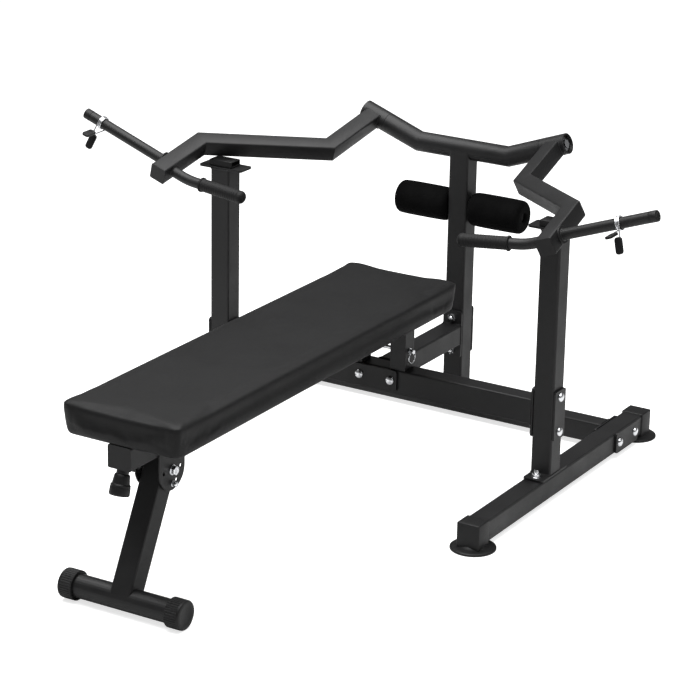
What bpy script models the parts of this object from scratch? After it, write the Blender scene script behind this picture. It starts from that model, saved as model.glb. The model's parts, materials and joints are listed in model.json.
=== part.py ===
"""Flat weight bench with a converging chest-press frame, modelled piece by piece.

X runs across the bench (+X is the lifter's right when seen from the foot end looking to the mast),
Y runs from the folding front leg (-Y) to the mast (+Y), and Z is up with the floor at Z = 0.
"""
from math import cos, pi, radians, sin

import bmesh
import bpy
from mathutils import Matrix, Vector

# ---------------------------------------------------------------- driving dimensions, metres
TUBE = 0.050                 # main square tube, outside
ARM_TUBE = 0.040             # lever arm and saddle square tube, outside
WALL = 0.002                 # wall of every square tube
CORNER = 0.004               # outside corner radius of the square tube
GAP = 0.0003                 # clearance between touching pieces
RUN = 0.0004                 # clearance of a turning or sliding fit
HALF = TUBE / 2
BAR = 0.0125                 # radius of plate pegs and handle bars
ROUND = 0.0245               # radius of the yoke and the arm sleeves

RAIL_X = 0.432               # rails and side posts, either side of the middle
RAIL_FRONT = -0.098          # outer faces of the rail's end caps
RAIL_REAR = 0.760
RAIL_BASE = 0.012            # underside of the rails above the floor
RAIL_TOP = RAIL_BASE + TUBE
RAIL_MID = RAIL_BASE + HALF

CAP_LENGTH = 0.048
CAP_WALL = 0.0025
FOOT_RADIUS = 0.051
FOOT_HEIGHT = 0.010
FOOT_INSET = 0.027           # foot disc centre behind the cap's face

POST_Y = 0.262
POST_TOP = 0.641             # top of the saddle plate
MAST_Y = 0.627
CROSS_TOP = 0.2387           # top of the main cross tube and of the spine
CROSS_HEIGHT = 0.060
CROSS_MID = CROSS_TOP - CROSS_HEIGHT / 2
SPINE_MID = CROSS_TOP - HALF
FRONT_PLATE_Z = 0.2125

PLATE_LENGTH = 0.116         # bolted joint plates
PLATE_WIDTH = 0.050
PLATE = 0.005
BASE_FLANGE = 0.124          # flange under a side post
BASE_NUT = 0.0435
BOLT_SPREAD = 0.041          # bolt to plate centre
BOLT = 0.005                 # bolt shank radius
BOLT_HEAD = 0.0102
NUT = 0.0085

BUMPER = (0.062, 0.038, 0.0155)
BUMPER_Y = -0.003            # bumper centre before the post's centre

YOKE_Z = 0.666
YOKE_HALF = 0.120            # straight middle of the yoke, half
TILT = radians(20)           # yoke ends rise outwards by this angle
SPINDLE_START = 0.095        # along the tilted axis from the yoke's bend
SPINDLE_END = 0.150
SPINDLE = 0.0160
SLEEVE_END = 0.1615
SLEEVE_BORE = 0.0205
BUSH_BORE = SPINDLE + RUN
BUSH = SLEEVE_BORE - RUN

DROOP = radians(14.7)        # arms fall forwards by this angle at rest
ARM_S = 0.1305               # first arm leg, along the pivot axis
ARM_REACH = 0.191            # pivot axis to the first elbow
ARM_OUT = 0.2195             # the middle leg runs outwards by this
ARM_FORWARD = 0.212          # and forwards by this
ARM_END = 0.563
PEG_Q = 0.516                # plate peg, forward of the pivot axis
PEG_END = 0.604
HANDLE_Q = 0.530
HANDLE_RISE = radians(15.5)  # grip direction against the arm's plane
GRIP = 0.015
GRIP_LENGTH = 0.122
CLIP_S = {-1: 0.553, 1: 0.512}
CLIP_WIRE = 0.0016
CLIP_PITCH = 0.0036
CLIP_LEG = 0.034             # wire from the coil to a grip
CLIP_GRIP = (0.018, 0.037, 0.006)

ROLLER_Z = 0.524
ROLLER = 0.041
ROLLER_START = 0.0285
ROLLER_END = 0.168
ROLLER_BAR = 0.010

PAD_FRONT = -0.763
PAD_REAR = 0.357
PAD_HALF = 0.137
PAD_BASE = 0.369
PAD_TOP = 0.434
PAD_CORNER = 0.034
BOARD = 0.012
BOARD_INSET = 0.022
BENCH_FRONT = -0.765
BENCH_WIDTH = 0.056
BENCH_MID = PAD_BASE - HALF - GAP

SADDLE_X = 0.057             # rear legs of the bench, either side
SADDLE_Y = 0.2575
STUB = 0.0170                # half width of the locating stubs
STUB_TOP = 0.305
HITCH_Z = 0.2825
HITCH = 0.0045
HITCH_REACH = 0.083

LEG_PIVOT = (-0.627, 0.279)  # Y and Z of the front leg's pivot
LEG_FOOT = (-0.7516, 0.032)  # Y and Z of the foot tube
LEG_HEAD = 0.024             # leg above its pivot
FOOT_TUBE = 0.0254
FOOT_HALF = 0.1495
FOOT_CAP = 0.032
FOOT_CAP_LENGTH = 0.035
BRACKET = 0.0445             # half width and lower radius of the leg brackets
BRACKET_PLATE = 0.003
HOLE_CIRCLE = 0.030
PIVOT_BOLT = 0.006
LOCK_PIN = 0.004

KNOB_TOP = (-0.7525, 0.3187) # Y and Z where the knob's axis leaves the bench tube
KNOB_LEAN = radians(17)

SIDES = {"left": -1, "right": 1}
X_AXIS, Y_AXIS, Z_AXIS = "X", "Y", "Z"
TURN = {
    X_AXIS: (0, pi / 2, 0),
    Y_AXIS: (-pi / 2, 0, 0),
    Z_AXIS: (0, 0, 0),
}


# ---------------------------------------------------------------- scene and materials
def clear_scene():
    for old in list(bpy.data.objects):
        bpy.data.objects.remove(old, do_unlink=True)


def new_collection(name):
    group = bpy.data.collections.new(name)
    bpy.context.scene.collection.children.link(group)
    return group


clear_scene()
PARTS = new_collection("weight_bench")
TOOLS = new_collection("weight_bench_cutters")


def new_material(name, colour, roughness, metallic):
    made = bpy.data.materials.new(name)
    made.use_nodes = True
    shader = made.node_tree.nodes["Principled BSDF"]
    shader.inputs["Base Color"].default_value = (*colour, 1)
    shader.inputs["Roughness"].default_value = roughness
    shader.inputs["Metallic"].default_value = metallic
    return made


POWDER = new_material("black_powder_coat", (0.022, 0.022, 0.024), 0.48, 0.0)
PLASTIC = new_material("black_plastic", (0.016, 0.016, 0.017), 0.45, 0.0)
RUBBER = new_material("black_rubber", (0.012, 0.012, 0.012), 0.70, 0.0)
FOAM = new_material("black_foam", (0.008, 0.008, 0.008), 0.90, 0.0)
VINYL = new_material("charcoal_vinyl", (0.020, 0.020, 0.022), 0.42, 0.0)
PLYWOOD = new_material("plywood", (0.42, 0.30, 0.18), 0.70, 0.0)
ZINC = new_material("zinc_plate", (0.72, 0.73, 0.75), 0.25, 1.0)
BRONZE = new_material("bush_bronze", (0.50, 0.36, 0.18), 0.35, 1.0)


# ---------------------------------------------------------------- building blocks
def add_object(name, data, material, place=(0, 0, 0), turn=(0, 0, 0), parent=None, group=PARTS):
    made = bpy.data.objects.new(name, data)
    group.objects.link(made)
    if material:
        data.materials.append(material)
    made.location = place
    made.rotation_euler = turn
    made.parent = parent
    return made


def add_empty(name, place, turn=(0, 0, 0), parent=None):
    made = bpy.data.objects.new(name, None)
    TOOLS.objects.link(made)
    made.location = place
    made.rotation_euler = turn
    made.parent = parent
    return made


def finish_mesh(name, shape):
    mesh = bpy.data.meshes.new(name)
    bmesh.ops.recalc_face_normals(shape, faces=shape.faces)
    shape.to_mesh(mesh)
    shape.free()
    mesh.shade_smooth()
    mesh.set_sharp_from_angle(angle=radians(35))
    return mesh


def long_edges(shape, axis):
    index = "XYZ".index(axis)
    def along(edge):
        run = (edge.verts[0].co - edge.verts[1].co).normalized()
        return abs(run[index]) > 0.99
    return [edge for edge in shape.edges if along(edge)]


def box_mesh(name, size, corner=0.0, axis=Z_AXIS, segments=2):
    """A block, with its edges along one axis rounded."""
    shape = bmesh.new()
    bmesh.ops.create_cube(shape, size=1)
    bmesh.ops.scale(shape, vec=size, verts=shape.verts)
    if corner:
        bmesh.ops.bevel(shape, geom=long_edges(shape, axis), offset=corner, affect="EDGES",
                        segments=segments, profile=0.5, material=-1)
    return finish_mesh(name, shape)


def box(name, size, place, material, corner=0.0, axis=Z_AXIS, parent=None, segments=2):
    return add_object(name, box_mesh(name, size, corner, axis, segments), material, place, parent=parent)


def square_tube(name, width, height, length, axis, place, material=POWDER, parent=None, turn=(0, 0, 0)):
    """An open-ended tube of rectangular section: width and height lie across the named axis."""
    index = "XYZ".index(axis)
    size = [width, height]
    size.insert(index, length)
    shape = bmesh.new()
    bmesh.ops.create_cube(shape, size=1)
    bmesh.ops.scale(shape, vec=size, verts=shape.verts)
    ends = [face for face in shape.faces if abs(face.normal[index]) > 0.9]
    bmesh.ops.delete(shape, geom=ends, context="FACES_ONLY")
    bmesh.ops.bevel(shape, geom=long_edges(shape, axis), offset=CORNER, affect="EDGES",
                    segments=2, profile=0.5, material=-1)
    made = add_object(name, finish_mesh(name, shape), material, place, turn, parent)
    wall = made.modifiers.new("Wall", "SOLIDIFY")
    wall.thickness = WALL
    wall.offset = -1
    wall.use_even_offset = True
    return made


def turned(name, profile, material, place=(0, 0, 0), turn=(0, 0, 0), parent=None, steps=24, closed=False):
    """A turned piece: (radius, height) points run down the outer side of its Z axis."""
    mesh = bpy.data.meshes.new(name)
    links = [(i, i + 1) for i in range(len(profile) - 1)]
    if closed:
        links.append((len(profile) - 1, 0))
    mesh.from_pydata([(radius, 0, height) for radius, height in profile], links, [])
    made = add_object(name, mesh, material, place, turn, parent)
    screw = made.modifiers.new("Turn", "SCREW")
    screw.steps = steps
    screw.render_steps = steps
    screw.use_merge_vertices = True
    screw.merge_threshold = 0.00001
    screw.use_smooth_shade = False
    return made


def rod(name, radius, low, high, material, place=(0, 0, 0), turn=(0, 0, 0), parent=None, steps=24):
    profile = [(0, high), (radius, high), (radius, low), (0, low)]
    return turned(name, profile, material, place, turn, parent, steps)


def ring(name, outer, inner, low, high, material, place=(0, 0, 0), turn=(0, 0, 0), parent=None, steps=24):
    profile = [(outer, high), (outer, low), (inner, low), (inner, high)]
    return turned(name, profile, material, place, turn, parent, steps, closed=True)


def path_mesh(name, points, radius, resolution=4):
    """A round bar or wire along a polyline, welded shut."""
    curve = bpy.data.curves.new(name, "CURVE")
    curve.dimensions = "3D"
    curve.bevel_depth = radius
    curve.bevel_resolution = resolution
    curve.use_fill_caps = True
    line = curve.splines.new("POLY")
    line.points.add(len(points) - 1)
    for spot, point in zip(line.points, points):
        spot.co = (*point, 1)
    guide = add_object(name + "_path", curve, None, group=TOOLS)
    bpy.context.view_layer.update()
    mesh = bpy.data.meshes.new_from_object(guide.evaluated_get(bpy.context.evaluated_depsgraph_get()))
    bpy.data.objects.remove(guide, do_unlink=True)
    shape = bmesh.new()
    shape.from_mesh(mesh)
    bmesh.ops.remove_doubles(shape, verts=shape.verts, dist=0.00001)
    bpy.data.meshes.remove(mesh)
    return finish_mesh(name, shape)


def as_tool(made):
    """Turn an object into a hidden operand of a Boolean."""
    for group in list(made.users_collection):
        group.objects.unlink(made)
    TOOLS.objects.link(made)
    made.hide_render = True
    made.display_type = "WIRE"
    return made


def combine(target, tool, operation="DIFFERENCE"):
    step = target.modifiers.new(operation.title(), "BOOLEAN")
    step.operation = operation
    step.solver = "EXACT"
    step.object = as_tool(tool)


def weld(target, tool):
    combine(target, tool, "UNION")


def drill(target, radius, place, axis=X_AXIS, depth=0.2, parent=None, steps=20):
    """Bore a hole through the target, centred on a point."""
    name = f"{target.name}_hole{len(target.modifiers)}"
    combine(target, rod(name, radius, -depth / 2, depth / 2, None, place, TURN[axis], parent, steps))


def offset_point(place, axis, distance):
    shifted = list(place)
    shifted["XYZ".index(axis)] += distance
    return tuple(shifted)


# ---------------------------------------------------------------- bolted joints
def joint_plate(name, place, normal, spread, grip):
    """A backing plate with its two bolts, which clamp `grip` of metal behind the plate.

    normal is (axis, sign) of the plate's outer face; spread is the axis along the plate.
    """
    axis, sign = normal
    size = [PLATE_WIDTH] * 3
    size["XYZ".index(axis)] = PLATE
    size["XYZ".index(spread)] = PLATE_LENGTH
    plate = box(name, size, place, POWDER, 0.006, axis)
    reach = grip + PLATE / 2
    profile = [
        (0, PLATE / 2 + 0.0065),
        (BOLT_HEAD * 0.60, PLATE / 2 + 0.0054),
        (BOLT_HEAD, PLATE / 2 + 0.0015),
        (BOLT_HEAD, PLATE / 2 - 0.0010),
        (BOLT, PLATE / 2 - 0.0010),
        (BOLT, -reach - GAP),
        (NUT, -reach - GAP),
        (NUT, -reach - 0.0075),
        (BOLT, -reach - 0.0085),
        (0, -reach - 0.0105),
    ]
    turn = list(TURN[axis])
    if sign < 0:
        turn[0 if axis != X_AXIS else 1] += pi
    for step in (-1, 1):
        spot = offset_point(place, spread, step * BOLT_SPREAD)
        weld(plate, turned(f"{name}_bolt{step}", profile, None, spot, turn, steps=16))
    return plate


def bolt_holes(target, place, axis, spread, depth=0.12):
    for step in (-1, 1):
        drill(target, BOLT + GAP, offset_point(place, spread, step * BOLT_SPREAD), axis, depth)


def end_plate(target, name, place, axis, spread):
    """A plate welded across a tube's end."""
    size = [PLATE_WIDTH] * 3
    size["XYZ".index(axis)] = PLATE
    size["XYZ".index(spread)] = PLATE_LENGTH
    weld(target, box(name, size, place, None, 0.006, axis))


# ---------------------------------------------------------------- base frame
def base_rail(side, sign):
    inset = CAP_WALL + GAP
    length = RAIL_REAR - RAIL_FRONT - 2 * inset
    middle = (RAIL_REAR + RAIL_FRONT) / 2
    rail = square_tube(f"base_rail_{side}", TUBE, TUBE, length, Y_AXIS, (sign * RAIL_X, middle, RAIL_MID))
    bolt_holes(rail, (sign * RAIL_X, MAST_Y, RAIL_MID), X_AXIS, Y_AXIS)


def foot_caps():
    """End caps that slip over the rails and stand on a flared disc."""
    cover = TUBE + 2 * CAP_WALL
    for end, face, turn in (("front", RAIL_FRONT, 0), ("rear", RAIL_REAR, pi)):
        for side, sign in SIDES.items():
            spot = (sign * RAIL_X, face, 0)
            name = f"foot_cap_{end}_{side}"
            cap = add_object(name, cap_mesh(name, cover), PLASTIC, spot, (0, 0, turn))
            guide = add_empty(name + "_guide", spot, (0, 0, turn))
            weld(cap, turned(name + "_disc", [
                (0, RAIL_BASE),
                (HALF, RAIL_BASE),
                (FOOT_RADIUS * 0.80, FOOT_HEIGHT * 0.62),
                (FOOT_RADIUS, FOOT_HEIGHT * 0.40),
                (FOOT_RADIUS, 0),
                (0, 0),
            ], None, (0, FOOT_INSET, 0), parent=guide, steps=32))
            socket = TUBE + 2 * GAP
            combine(cap, box(name + "_socket", (socket, CAP_LENGTH, socket),
                             (0, CAP_LENGTH / 2 + CAP_WALL, RAIL_MID), None, parent=guide))


def cap_mesh(name, cover):
    bottom = FOOT_HEIGHT * 0.5
    top = RAIL_TOP + CAP_WALL
    shape = bmesh.new()
    bmesh.ops.create_cube(shape, size=1)
    bmesh.ops.scale(shape, vec=(cover, CAP_LENGTH, top - bottom), verts=shape.verts)
    bmesh.ops.translate(shape, vec=(0, CAP_LENGTH / 2, (top + bottom) / 2), verts=shape.verts)
    rim = [edge for edge in shape.edges if all(vert.co.y < 0.001 or vert.co.z > top - 0.001
                                               for vert in edge.verts)]
    bmesh.ops.bevel(shape, geom=rim, offset=0.003, affect="EDGES", segments=2, profile=0.5, material=-1)
    return finish_mesh(name, shape)


def rear_cross_tube():
    """Floor-level tube between the rails, with its end plates."""
    inner = RAIL_X - HALF - GAP
    tube = square_tube("rear_cross_tube", TUBE, TUBE, 2 * (inner - PLATE / 2), X_AXIS, (0, MAST_Y, RAIL_MID))
    for side, sign in SIDES.items():
        spot = (sign * (inner - PLATE / 2), MAST_Y, RAIL_MID)
        end_plate(tube, f"rear_cross_tube_plate_{side}", spot, X_AXIS, Y_AXIS)
        bolt_holes(tube, spot, X_AXIS, Y_AXIS, depth=0.03)
        outer = (sign * (RAIL_X + HALF + GAP + PLATE / 2), MAST_Y, RAIL_MID)
        joint_plate(f"rear_joint_plate_{side}", outer, (X_AXIS, sign), Y_AXIS, TUBE + PLATE + 3 * GAP)
    drill(tube, 0.006, (0.2, MAST_Y, RAIL_BASE), Z_AXIS, 0.02)


def side_post(side, sign):
    """Upright with its base flange and saddle plate."""
    low = RAIL_TOP + GAP + PLATE
    high = POST_TOP - PLATE
    spot = (sign * RAIL_X, POST_Y, (low + high) / 2)
    post = square_tube(f"side_post_{side}", TUBE, TUBE, high - low + PLATE, Z_AXIS, spot)
    base = (sign * RAIL_X, POST_Y, low - PLATE / 2)
    weld(post, box(f"side_post_base_{side}", (PLATE_WIDTH, BASE_FLANGE, PLATE), base, None, 0.006, Z_AXIS))
    for step in (-1, 1):
        weld(post, turned(f"base_nut_{side}{step}", [
            (0, 0.0155),
            (BOLT, 0.0145),
            (BOLT, 0.0085),
            (NUT, 0.0080),
            (NUT, -0.001),
            (0, -0.001),
        ], None, (sign * RAIL_X, POST_Y + step * BASE_NUT, low), steps=12))
    end_plate(post, f"side_post_saddle_{side}", (sign * RAIL_X, POST_Y, high + PLATE / 2), Z_AXIS, X_AXIS)
    bolt_holes(post, (sign * RAIL_X, POST_Y, CROSS_MID), X_AXIS, Z_AXIS)
    bumper = (sign * RAIL_X, POST_Y + BUMPER_Y, POST_TOP + GAP + BUMPER[2] / 2)
    box(f"arm_bumper_{side}", BUMPER, bumper, RUBBER, 0.003, Z_AXIS)
    outer = (sign * (RAIL_X + HALF + GAP + PLATE / 2), POST_Y, CROSS_MID)
    joint_plate(f"post_joint_plate_{side}", outer, (X_AXIS, sign), Z_AXIS, TUBE + PLATE + 3 * GAP)


def main_cross_tube():
    """Tube between the posts, with end plates and the stubs that locate the bench."""
    inner = RAIL_X - HALF - GAP
    tube = square_tube("main_cross_tube", TUBE, CROSS_HEIGHT, 2 * (inner - PLATE / 2), X_AXIS,
                       (0, POST_Y, CROSS_MID))
    for side, sign in SIDES.items():
        spot = (sign * (inner - PLATE / 2), POST_Y, CROSS_MID)
        end_plate(tube, f"main_cross_tube_plate_{side}", spot, X_AXIS, Z_AXIS)
        bolt_holes(tube, spot, X_AXIS, Z_AXIS, depth=0.03)
        height = STUB_TOP - CROSS_TOP + WALL
        stub = (sign * SADDLE_X, SADDLE_Y, STUB_TOP - height / 2)
        weld(tube, box(f"bench_stub_{side}", (2 * STUB, 2 * STUB, height), stub, None, 0.003, Z_AXIS))
    bolt_holes(tube, (0, POST_Y, FRONT_PLATE_Z), Y_AXIS, X_AXIS)
    drill(tube, HITCH + RUN, (0, SADDLE_Y, HITCH_Z), X_AXIS, 0.3)


def spine_and_plates():
    """Tube from the cross tube back to the mast, with a flange at each end."""
    front = POST_Y + HALF + GAP
    rear = MAST_Y - HALF - GAP
    tube = square_tube("spine_tube", TUBE, TUBE, rear - front - PLATE, Y_AXIS,
                       (0, (front + rear) / 2, SPINE_MID))
    end_plate(tube, "spine_tube_front_flange", (0, front + PLATE / 2, FRONT_PLATE_Z), Y_AXIS, X_AXIS)
    end_plate(tube, "spine_tube_rear_flange", (0, rear - PLATE / 2, SPINE_MID), Y_AXIS, Z_AXIS)
    bolt_holes(tube, (0, front, FRONT_PLATE_Z), Y_AXIS, X_AXIS, depth=0.03)
    bolt_holes(tube, (0, rear, SPINE_MID), Y_AXIS, Z_AXIS, depth=0.03)
    drill(tube, 0.006, (0, front, SPINE_MID), Y_AXIS, 0.03)
    joint_plate("spine_joint_plate", (0, POST_Y - HALF - GAP - PLATE / 2, FRONT_PLATE_Z),
                (Y_AXIS, -1), X_AXIS, TUBE + PLATE + 3 * GAP)
    joint_plate("mast_joint_plate", (0, MAST_Y + HALF + GAP + PLATE / 2, SPINE_MID),
                (Y_AXIS, 1), Z_AXIS, TUBE + PLATE + 3 * GAP)


def mast_and_yoke():
    low = RAIL_TOP + GAP
    high = YOKE_Z
    mast = square_tube("mast", TUBE, TUBE, high - low, Z_AXIS, (0, MAST_Y, (low + high) / 2))
    combine(mast, rod("mast_cope", ROUND + GAP, -0.1, 0.1, None, (0, MAST_Y, YOKE_Z), TURN[X_AXIS], steps=32))
    bolt_holes(mast, (0, MAST_Y, SPINE_MID), Y_AXIS, Z_AXIS)
    drill(mast, ROLLER_BAR + GAP, (0, MAST_Y, ROLLER_Z), X_AXIS, 0.12)

    knee = [Vector((sign * YOKE_HALF, 0, 0)) for sign in (-1, 1)]
    rise = Vector((cos(TILT), 0, sin(TILT))) * SPINDLE_START
    ends = [knee[0] + Vector((-rise.x, 0, rise.z)), knee[1] + rise]
    yoke = add_object("yoke", path_mesh("yoke", [ends[0], *knee, ends[1]], ROUND, 6), POWDER,
                      (0, MAST_Y, YOKE_Z))
    for side, sign in SIDES.items():
        guide = add_empty(f"yoke_end_{side}", (sign * YOKE_HALF, MAST_Y, YOKE_Z), (0, -sign * TILT, 0))
        weld(yoke, rod(f"spindle_{side}", SPINDLE, SPINDLE_START - 0.01, SPINDLE_END, None,
                       turn=(0, sign * pi / 2, 0), parent=guide, steps=32))


# ---------------------------------------------------------------- lever arms
def arm_outline(half, first, last, sign):
    """Corner points of the zigzag arm, offset to both sides, with true mitres."""
    elbow = [
        Vector((ARM_S, first)),
        Vector((ARM_S, ARM_REACH)),
        Vector((ARM_S + ARM_OUT, ARM_REACH + ARM_FORWARD)),
        Vector((ARM_S + ARM_OUT, last)),
    ]
    slant = (elbow[2] - elbow[1]).normalized()
    straight = Vector((0, 1))
    mitre = (straight + slant).normalized()
    across = Vector((mitre.y, -mitre.x)) * (half / mitre.dot(straight))
    square = Vector((half, 0))
    shift = [square, across, across, square]
    outer = [point + step for point, step in zip(elbow, shift)]
    inner = [point - step for point, step in zip(elbow, shift)]
    return [(sign * point.x, -point.y) for point in outer + inner[::-1]]


def flat_outline(name, loops, thickness, parent=None, place=(0, 0, 0), turn=(0, 0, 0)):
    """A flat curve outline, extruded to a plate and made a mesh."""
    curve = bpy.data.curves.new(name, "CURVE")
    curve.dimensions = "2D"
    curve.fill_mode = "BOTH"
    curve.extrude = thickness / 2
    for loop in loops:
        line = curve.splines.new("POLY")
        line.points.add(len(loop) - 1)
        line.use_cyclic_u = True
        for spot, point in zip(line.points, loop):
            spot.co = (*point, 0, 1)
    guide = add_object(name + "_outline", curve, None, group=TOOLS)
    bpy.context.view_layer.update()
    mesh = bpy.data.meshes.new_from_object(guide.evaluated_get(bpy.context.evaluated_depsgraph_get()))
    bpy.data.objects.remove(guide, do_unlink=True)
    shape = bmesh.new()
    shape.from_mesh(mesh)
    bmesh.ops.remove_doubles(shape, verts=shape.verts, dist=0.00001)
    bpy.data.meshes.remove(mesh)
    return add_object(name, finish_mesh(name, shape), None, place, turn, parent)


def lever_arm(side, sign):
    """Everything that swings about one tilted end of the yoke."""
    pivot = add_empty(f"arm_pivot_{side}", (sign * YOKE_HALF, MAST_Y, YOKE_Z), (DROOP, -sign * TILT, 0))
    out = (0, sign * pi / 2, 0)

    arm = flat_outline(f"lever_arm_{side}", [arm_outline(ARM_TUBE / 2, 0.0, ARM_END, sign)], ARM_TUBE, pivot)
    arm.data.materials.append(POWDER)
    inside = ARM_TUBE - 2 * WALL
    hollow = arm_outline(inside / 2, ROUND + 0.006, ARM_END + 0.02, sign)
    combine(arm, flat_outline(f"arm_hollow_{side}", [hollow], inside, pivot))
    weld(arm, rod(f"arm_sleeve_{side}", ROUND, SPINDLE_START + GAP, SLEEVE_END, None,
                  turn=out, parent=pivot, steps=32))
    combine(arm, rod(f"arm_bore_{side}", SLEEVE_BORE, SPINDLE_START - 0.01, SLEEVE_END + 0.01, None,
                     turn=out, parent=pivot, steps=32))

    plug = tube_plug(f"arm_end_plug_{side}", ARM_TUBE, ARM_TUBE, pivot)
    plug.location = (sign * (ARM_S + ARM_OUT), -ARM_END, 0)

    ring(f"pivot_bush_{side}", BUSH, BUSH_BORE, SPINDLE_START + 2 * GAP, SPINDLE_END - GAP, BRONZE,
         turn=out, parent=pivot, steps=32)
    bolt_low = SPINDLE_END + GAP
    turned(f"pivot_bolt_{side}", [
        (0, bolt_low + 0.0090),
        (0.0095, bolt_low + 0.0090),
        (0.0105, bolt_low + 0.0080),
        (0.0105, bolt_low + 0.0024),
        (0.0180, bolt_low + 0.0024),
        (0.0180, bolt_low),
        (0, bolt_low),
    ], ZINC, turn=out, parent=pivot)

    peg_start = ARM_S + ARM_OUT + ARM_TUBE / 2 + GAP
    peg = (0, -PEG_Q, 0)
    turned(f"weight_peg_{side}", [
        (0, PEG_END - 0.003 - GAP),
        (BAR - 0.003, PEG_END - 0.003 - GAP),
        (BAR - 0.003, PEG_END - 0.018),
        (BAR, PEG_END - 0.018),
        (BAR, peg_start + 0.004),
        (0.0205, peg_start + 0.004),
        (0.0205, peg_start),
        (0, peg_start),
    ], POWDER, peg, out, pivot)
    turned(f"peg_cap_{side}", [
        (0, PEG_END),
        (BAR - 0.002, PEG_END),
        (BAR + 0.0002, PEG_END - 0.002),
        (BAR + 0.0002, PEG_END - 0.018 + GAP),
        (BAR - 0.003 + GAP, PEG_END - 0.018 + GAP),
        (BAR - 0.003 + GAP, PEG_END - 0.003),
        (0, PEG_END - 0.003),
    ], PLASTIC, peg, out, pivot)
    handle_and_grip(side, sign, pivot)
    spring_clip(side, sign, pivot)


def tube_plug(name, width, height, parent):
    """A plastic plug for a tube end that faces -Y, with its flange outside the tube."""
    face = 0.002
    depth = 0.018
    plug = box(name, (width, face, height), (0, 0, 0), PLASTIC, CORNER - 0.001, Y_AXIS, parent)
    plug.data.transform(Matrix.Translation((0, -face / 2 - GAP, 0)))
    inset = 2 * (WALL + GAP)
    body = box(name + "_body", (width - inset, depth, height - inset), (0, 0, 0), None, 0.002, Y_AXIS, plug)
    body.data.transform(Matrix.Translation((0, depth / 2 - 0.001, 0)))
    weld(plug, body)
    return plug


def handle_path():
    """Bar centre line in the arm's frame: out of the arm, round a bend, then along the grip."""
    start = ARM_S + ARM_OUT - ARM_TUBE / 2 - GAP
    straight = 0.022
    radius = 0.150
    points = [(start, 0), (start - straight, 0)]
    for step in range(1, 6):
        angle = HANDLE_RISE * step / 5
        points.append((start - straight - radius * sin(angle), radius * (1 - cos(angle))))
    last = points[-1]
    return points, last, (-cos(HANDLE_RISE), sin(HANDLE_RISE))


def handle_and_grip(side, sign, pivot):
    points, bend, along = handle_path()
    reach = GRIP_LENGTH + 0.010
    points = points + [(bend[0] + along[0] * reach, bend[1] + along[1] * reach)]
    line = [(sign * s, -HANDLE_Q, n) for s, n in points]
    bar = add_object(f"handle_bar_{side}", path_mesh(f"handle_bar_{side}", line, BAR), POWDER, parent=pivot)

    start = Vector((sign * (bend[0] + along[0] * 0.018), -HANDLE_Q, bend[1] + along[1] * 0.018))
    aim = Vector((sign * along[0], 0, along[1]))
    turn = aim.to_track_quat("Z", "Y").to_euler()
    grip = turned(f"hand_grip_{side}", [
        (0, GRIP_LENGTH),
        (GRIP * 0.60, GRIP_LENGTH - 0.0010),
        (GRIP * 0.92, GRIP_LENGTH - 0.0045),
        (GRIP, GRIP_LENGTH - 0.0090),
        (GRIP, 0.0045),
        (GRIP + 0.0022, 0.0040),
        (GRIP + 0.0022, 0),
        (0, 0),
    ], RUBBER, start, turn, pivot)
    combine(grip, rod(f"grip_bore_{side}", BAR + GAP, -0.01, GRIP_LENGTH - 0.004, None, start, turn, pivot))
    return bar, grip


def clip_spot(radius, angle, along):
    """A point around the peg; the angle is counted from forwards (-Y) to down."""
    return Vector((along, -radius * cos(angle), -radius * sin(angle)))


def clip_grip(owner, name, start, aim, seat):
    """Flat grip on the end of one of the clip's legs, centred over the coil."""
    middle = start + aim * (CLIP_LEG + CLIP_GRIP[1] / 2 - 0.004)
    turn = Matrix((Vector((1, 0, 0)), aim, Vector((1, 0, 0)).cross(aim))).transposed().to_euler()
    grip = box(name, CLIP_GRIP, (0, middle.y, middle.z), None, 0.006, Z_AXIS, seat)
    grip.rotation_euler = turn
    weld(owner, grip)


def spring_clip(side, sign, pivot):
    """Wire collar on the peg: the coil with its standing leg, and the lever that is squeezed."""
    seat = add_empty(f"clip_seat_{side}", (sign * CLIP_S[sign], -PEG_Q, 0), parent=pivot)
    steps = 16
    coil = (BAR + RUN + CLIP_WIRE) / cos(pi / steps)
    first = radians(76)
    last = radians(328) + 4 * pi
    count = round((last - first) / (2 * pi) * steps)
    width = CLIP_PITCH * (last - first) / (2 * pi)
    line = []
    for step in range(count + 1):
        part = step / count
        line.append(clip_spot(coil, first + (last - first) * part, sign * width * (part - 0.5)))
    aim = Vector((0, sin(last), -cos(last)))
    start = line[-1].copy()
    line.append(start + aim * (CLIP_LEG + 0.006))
    clip = add_object(f"spring_clip_{side}", path_mesh(f"spring_clip_{side}", line, CLIP_WIRE, 2), ZINC,
                      parent=seat)
    clip_grip(clip, f"clip_grip_{side}", start, aim, seat)

    beside = -sign * (width / 2 + 2 * CLIP_WIRE + 3 * GAP)
    line = [clip_spot(coil, first + radians(90 - 22.5 * step), beside) for step in range(5)]
    aim = -Vector((0, sin(first), -cos(first)))
    start = line[-1].copy()
    line.append(start + aim * (CLIP_LEG + 0.006))
    lever = add_object(f"clip_lever_{side}", path_mesh(f"clip_lever_{side}", line, CLIP_WIRE, 2), ZINC,
                       parent=seat)
    clip_grip(lever, f"clip_lever_grip_{side}", start, aim, seat)


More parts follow.
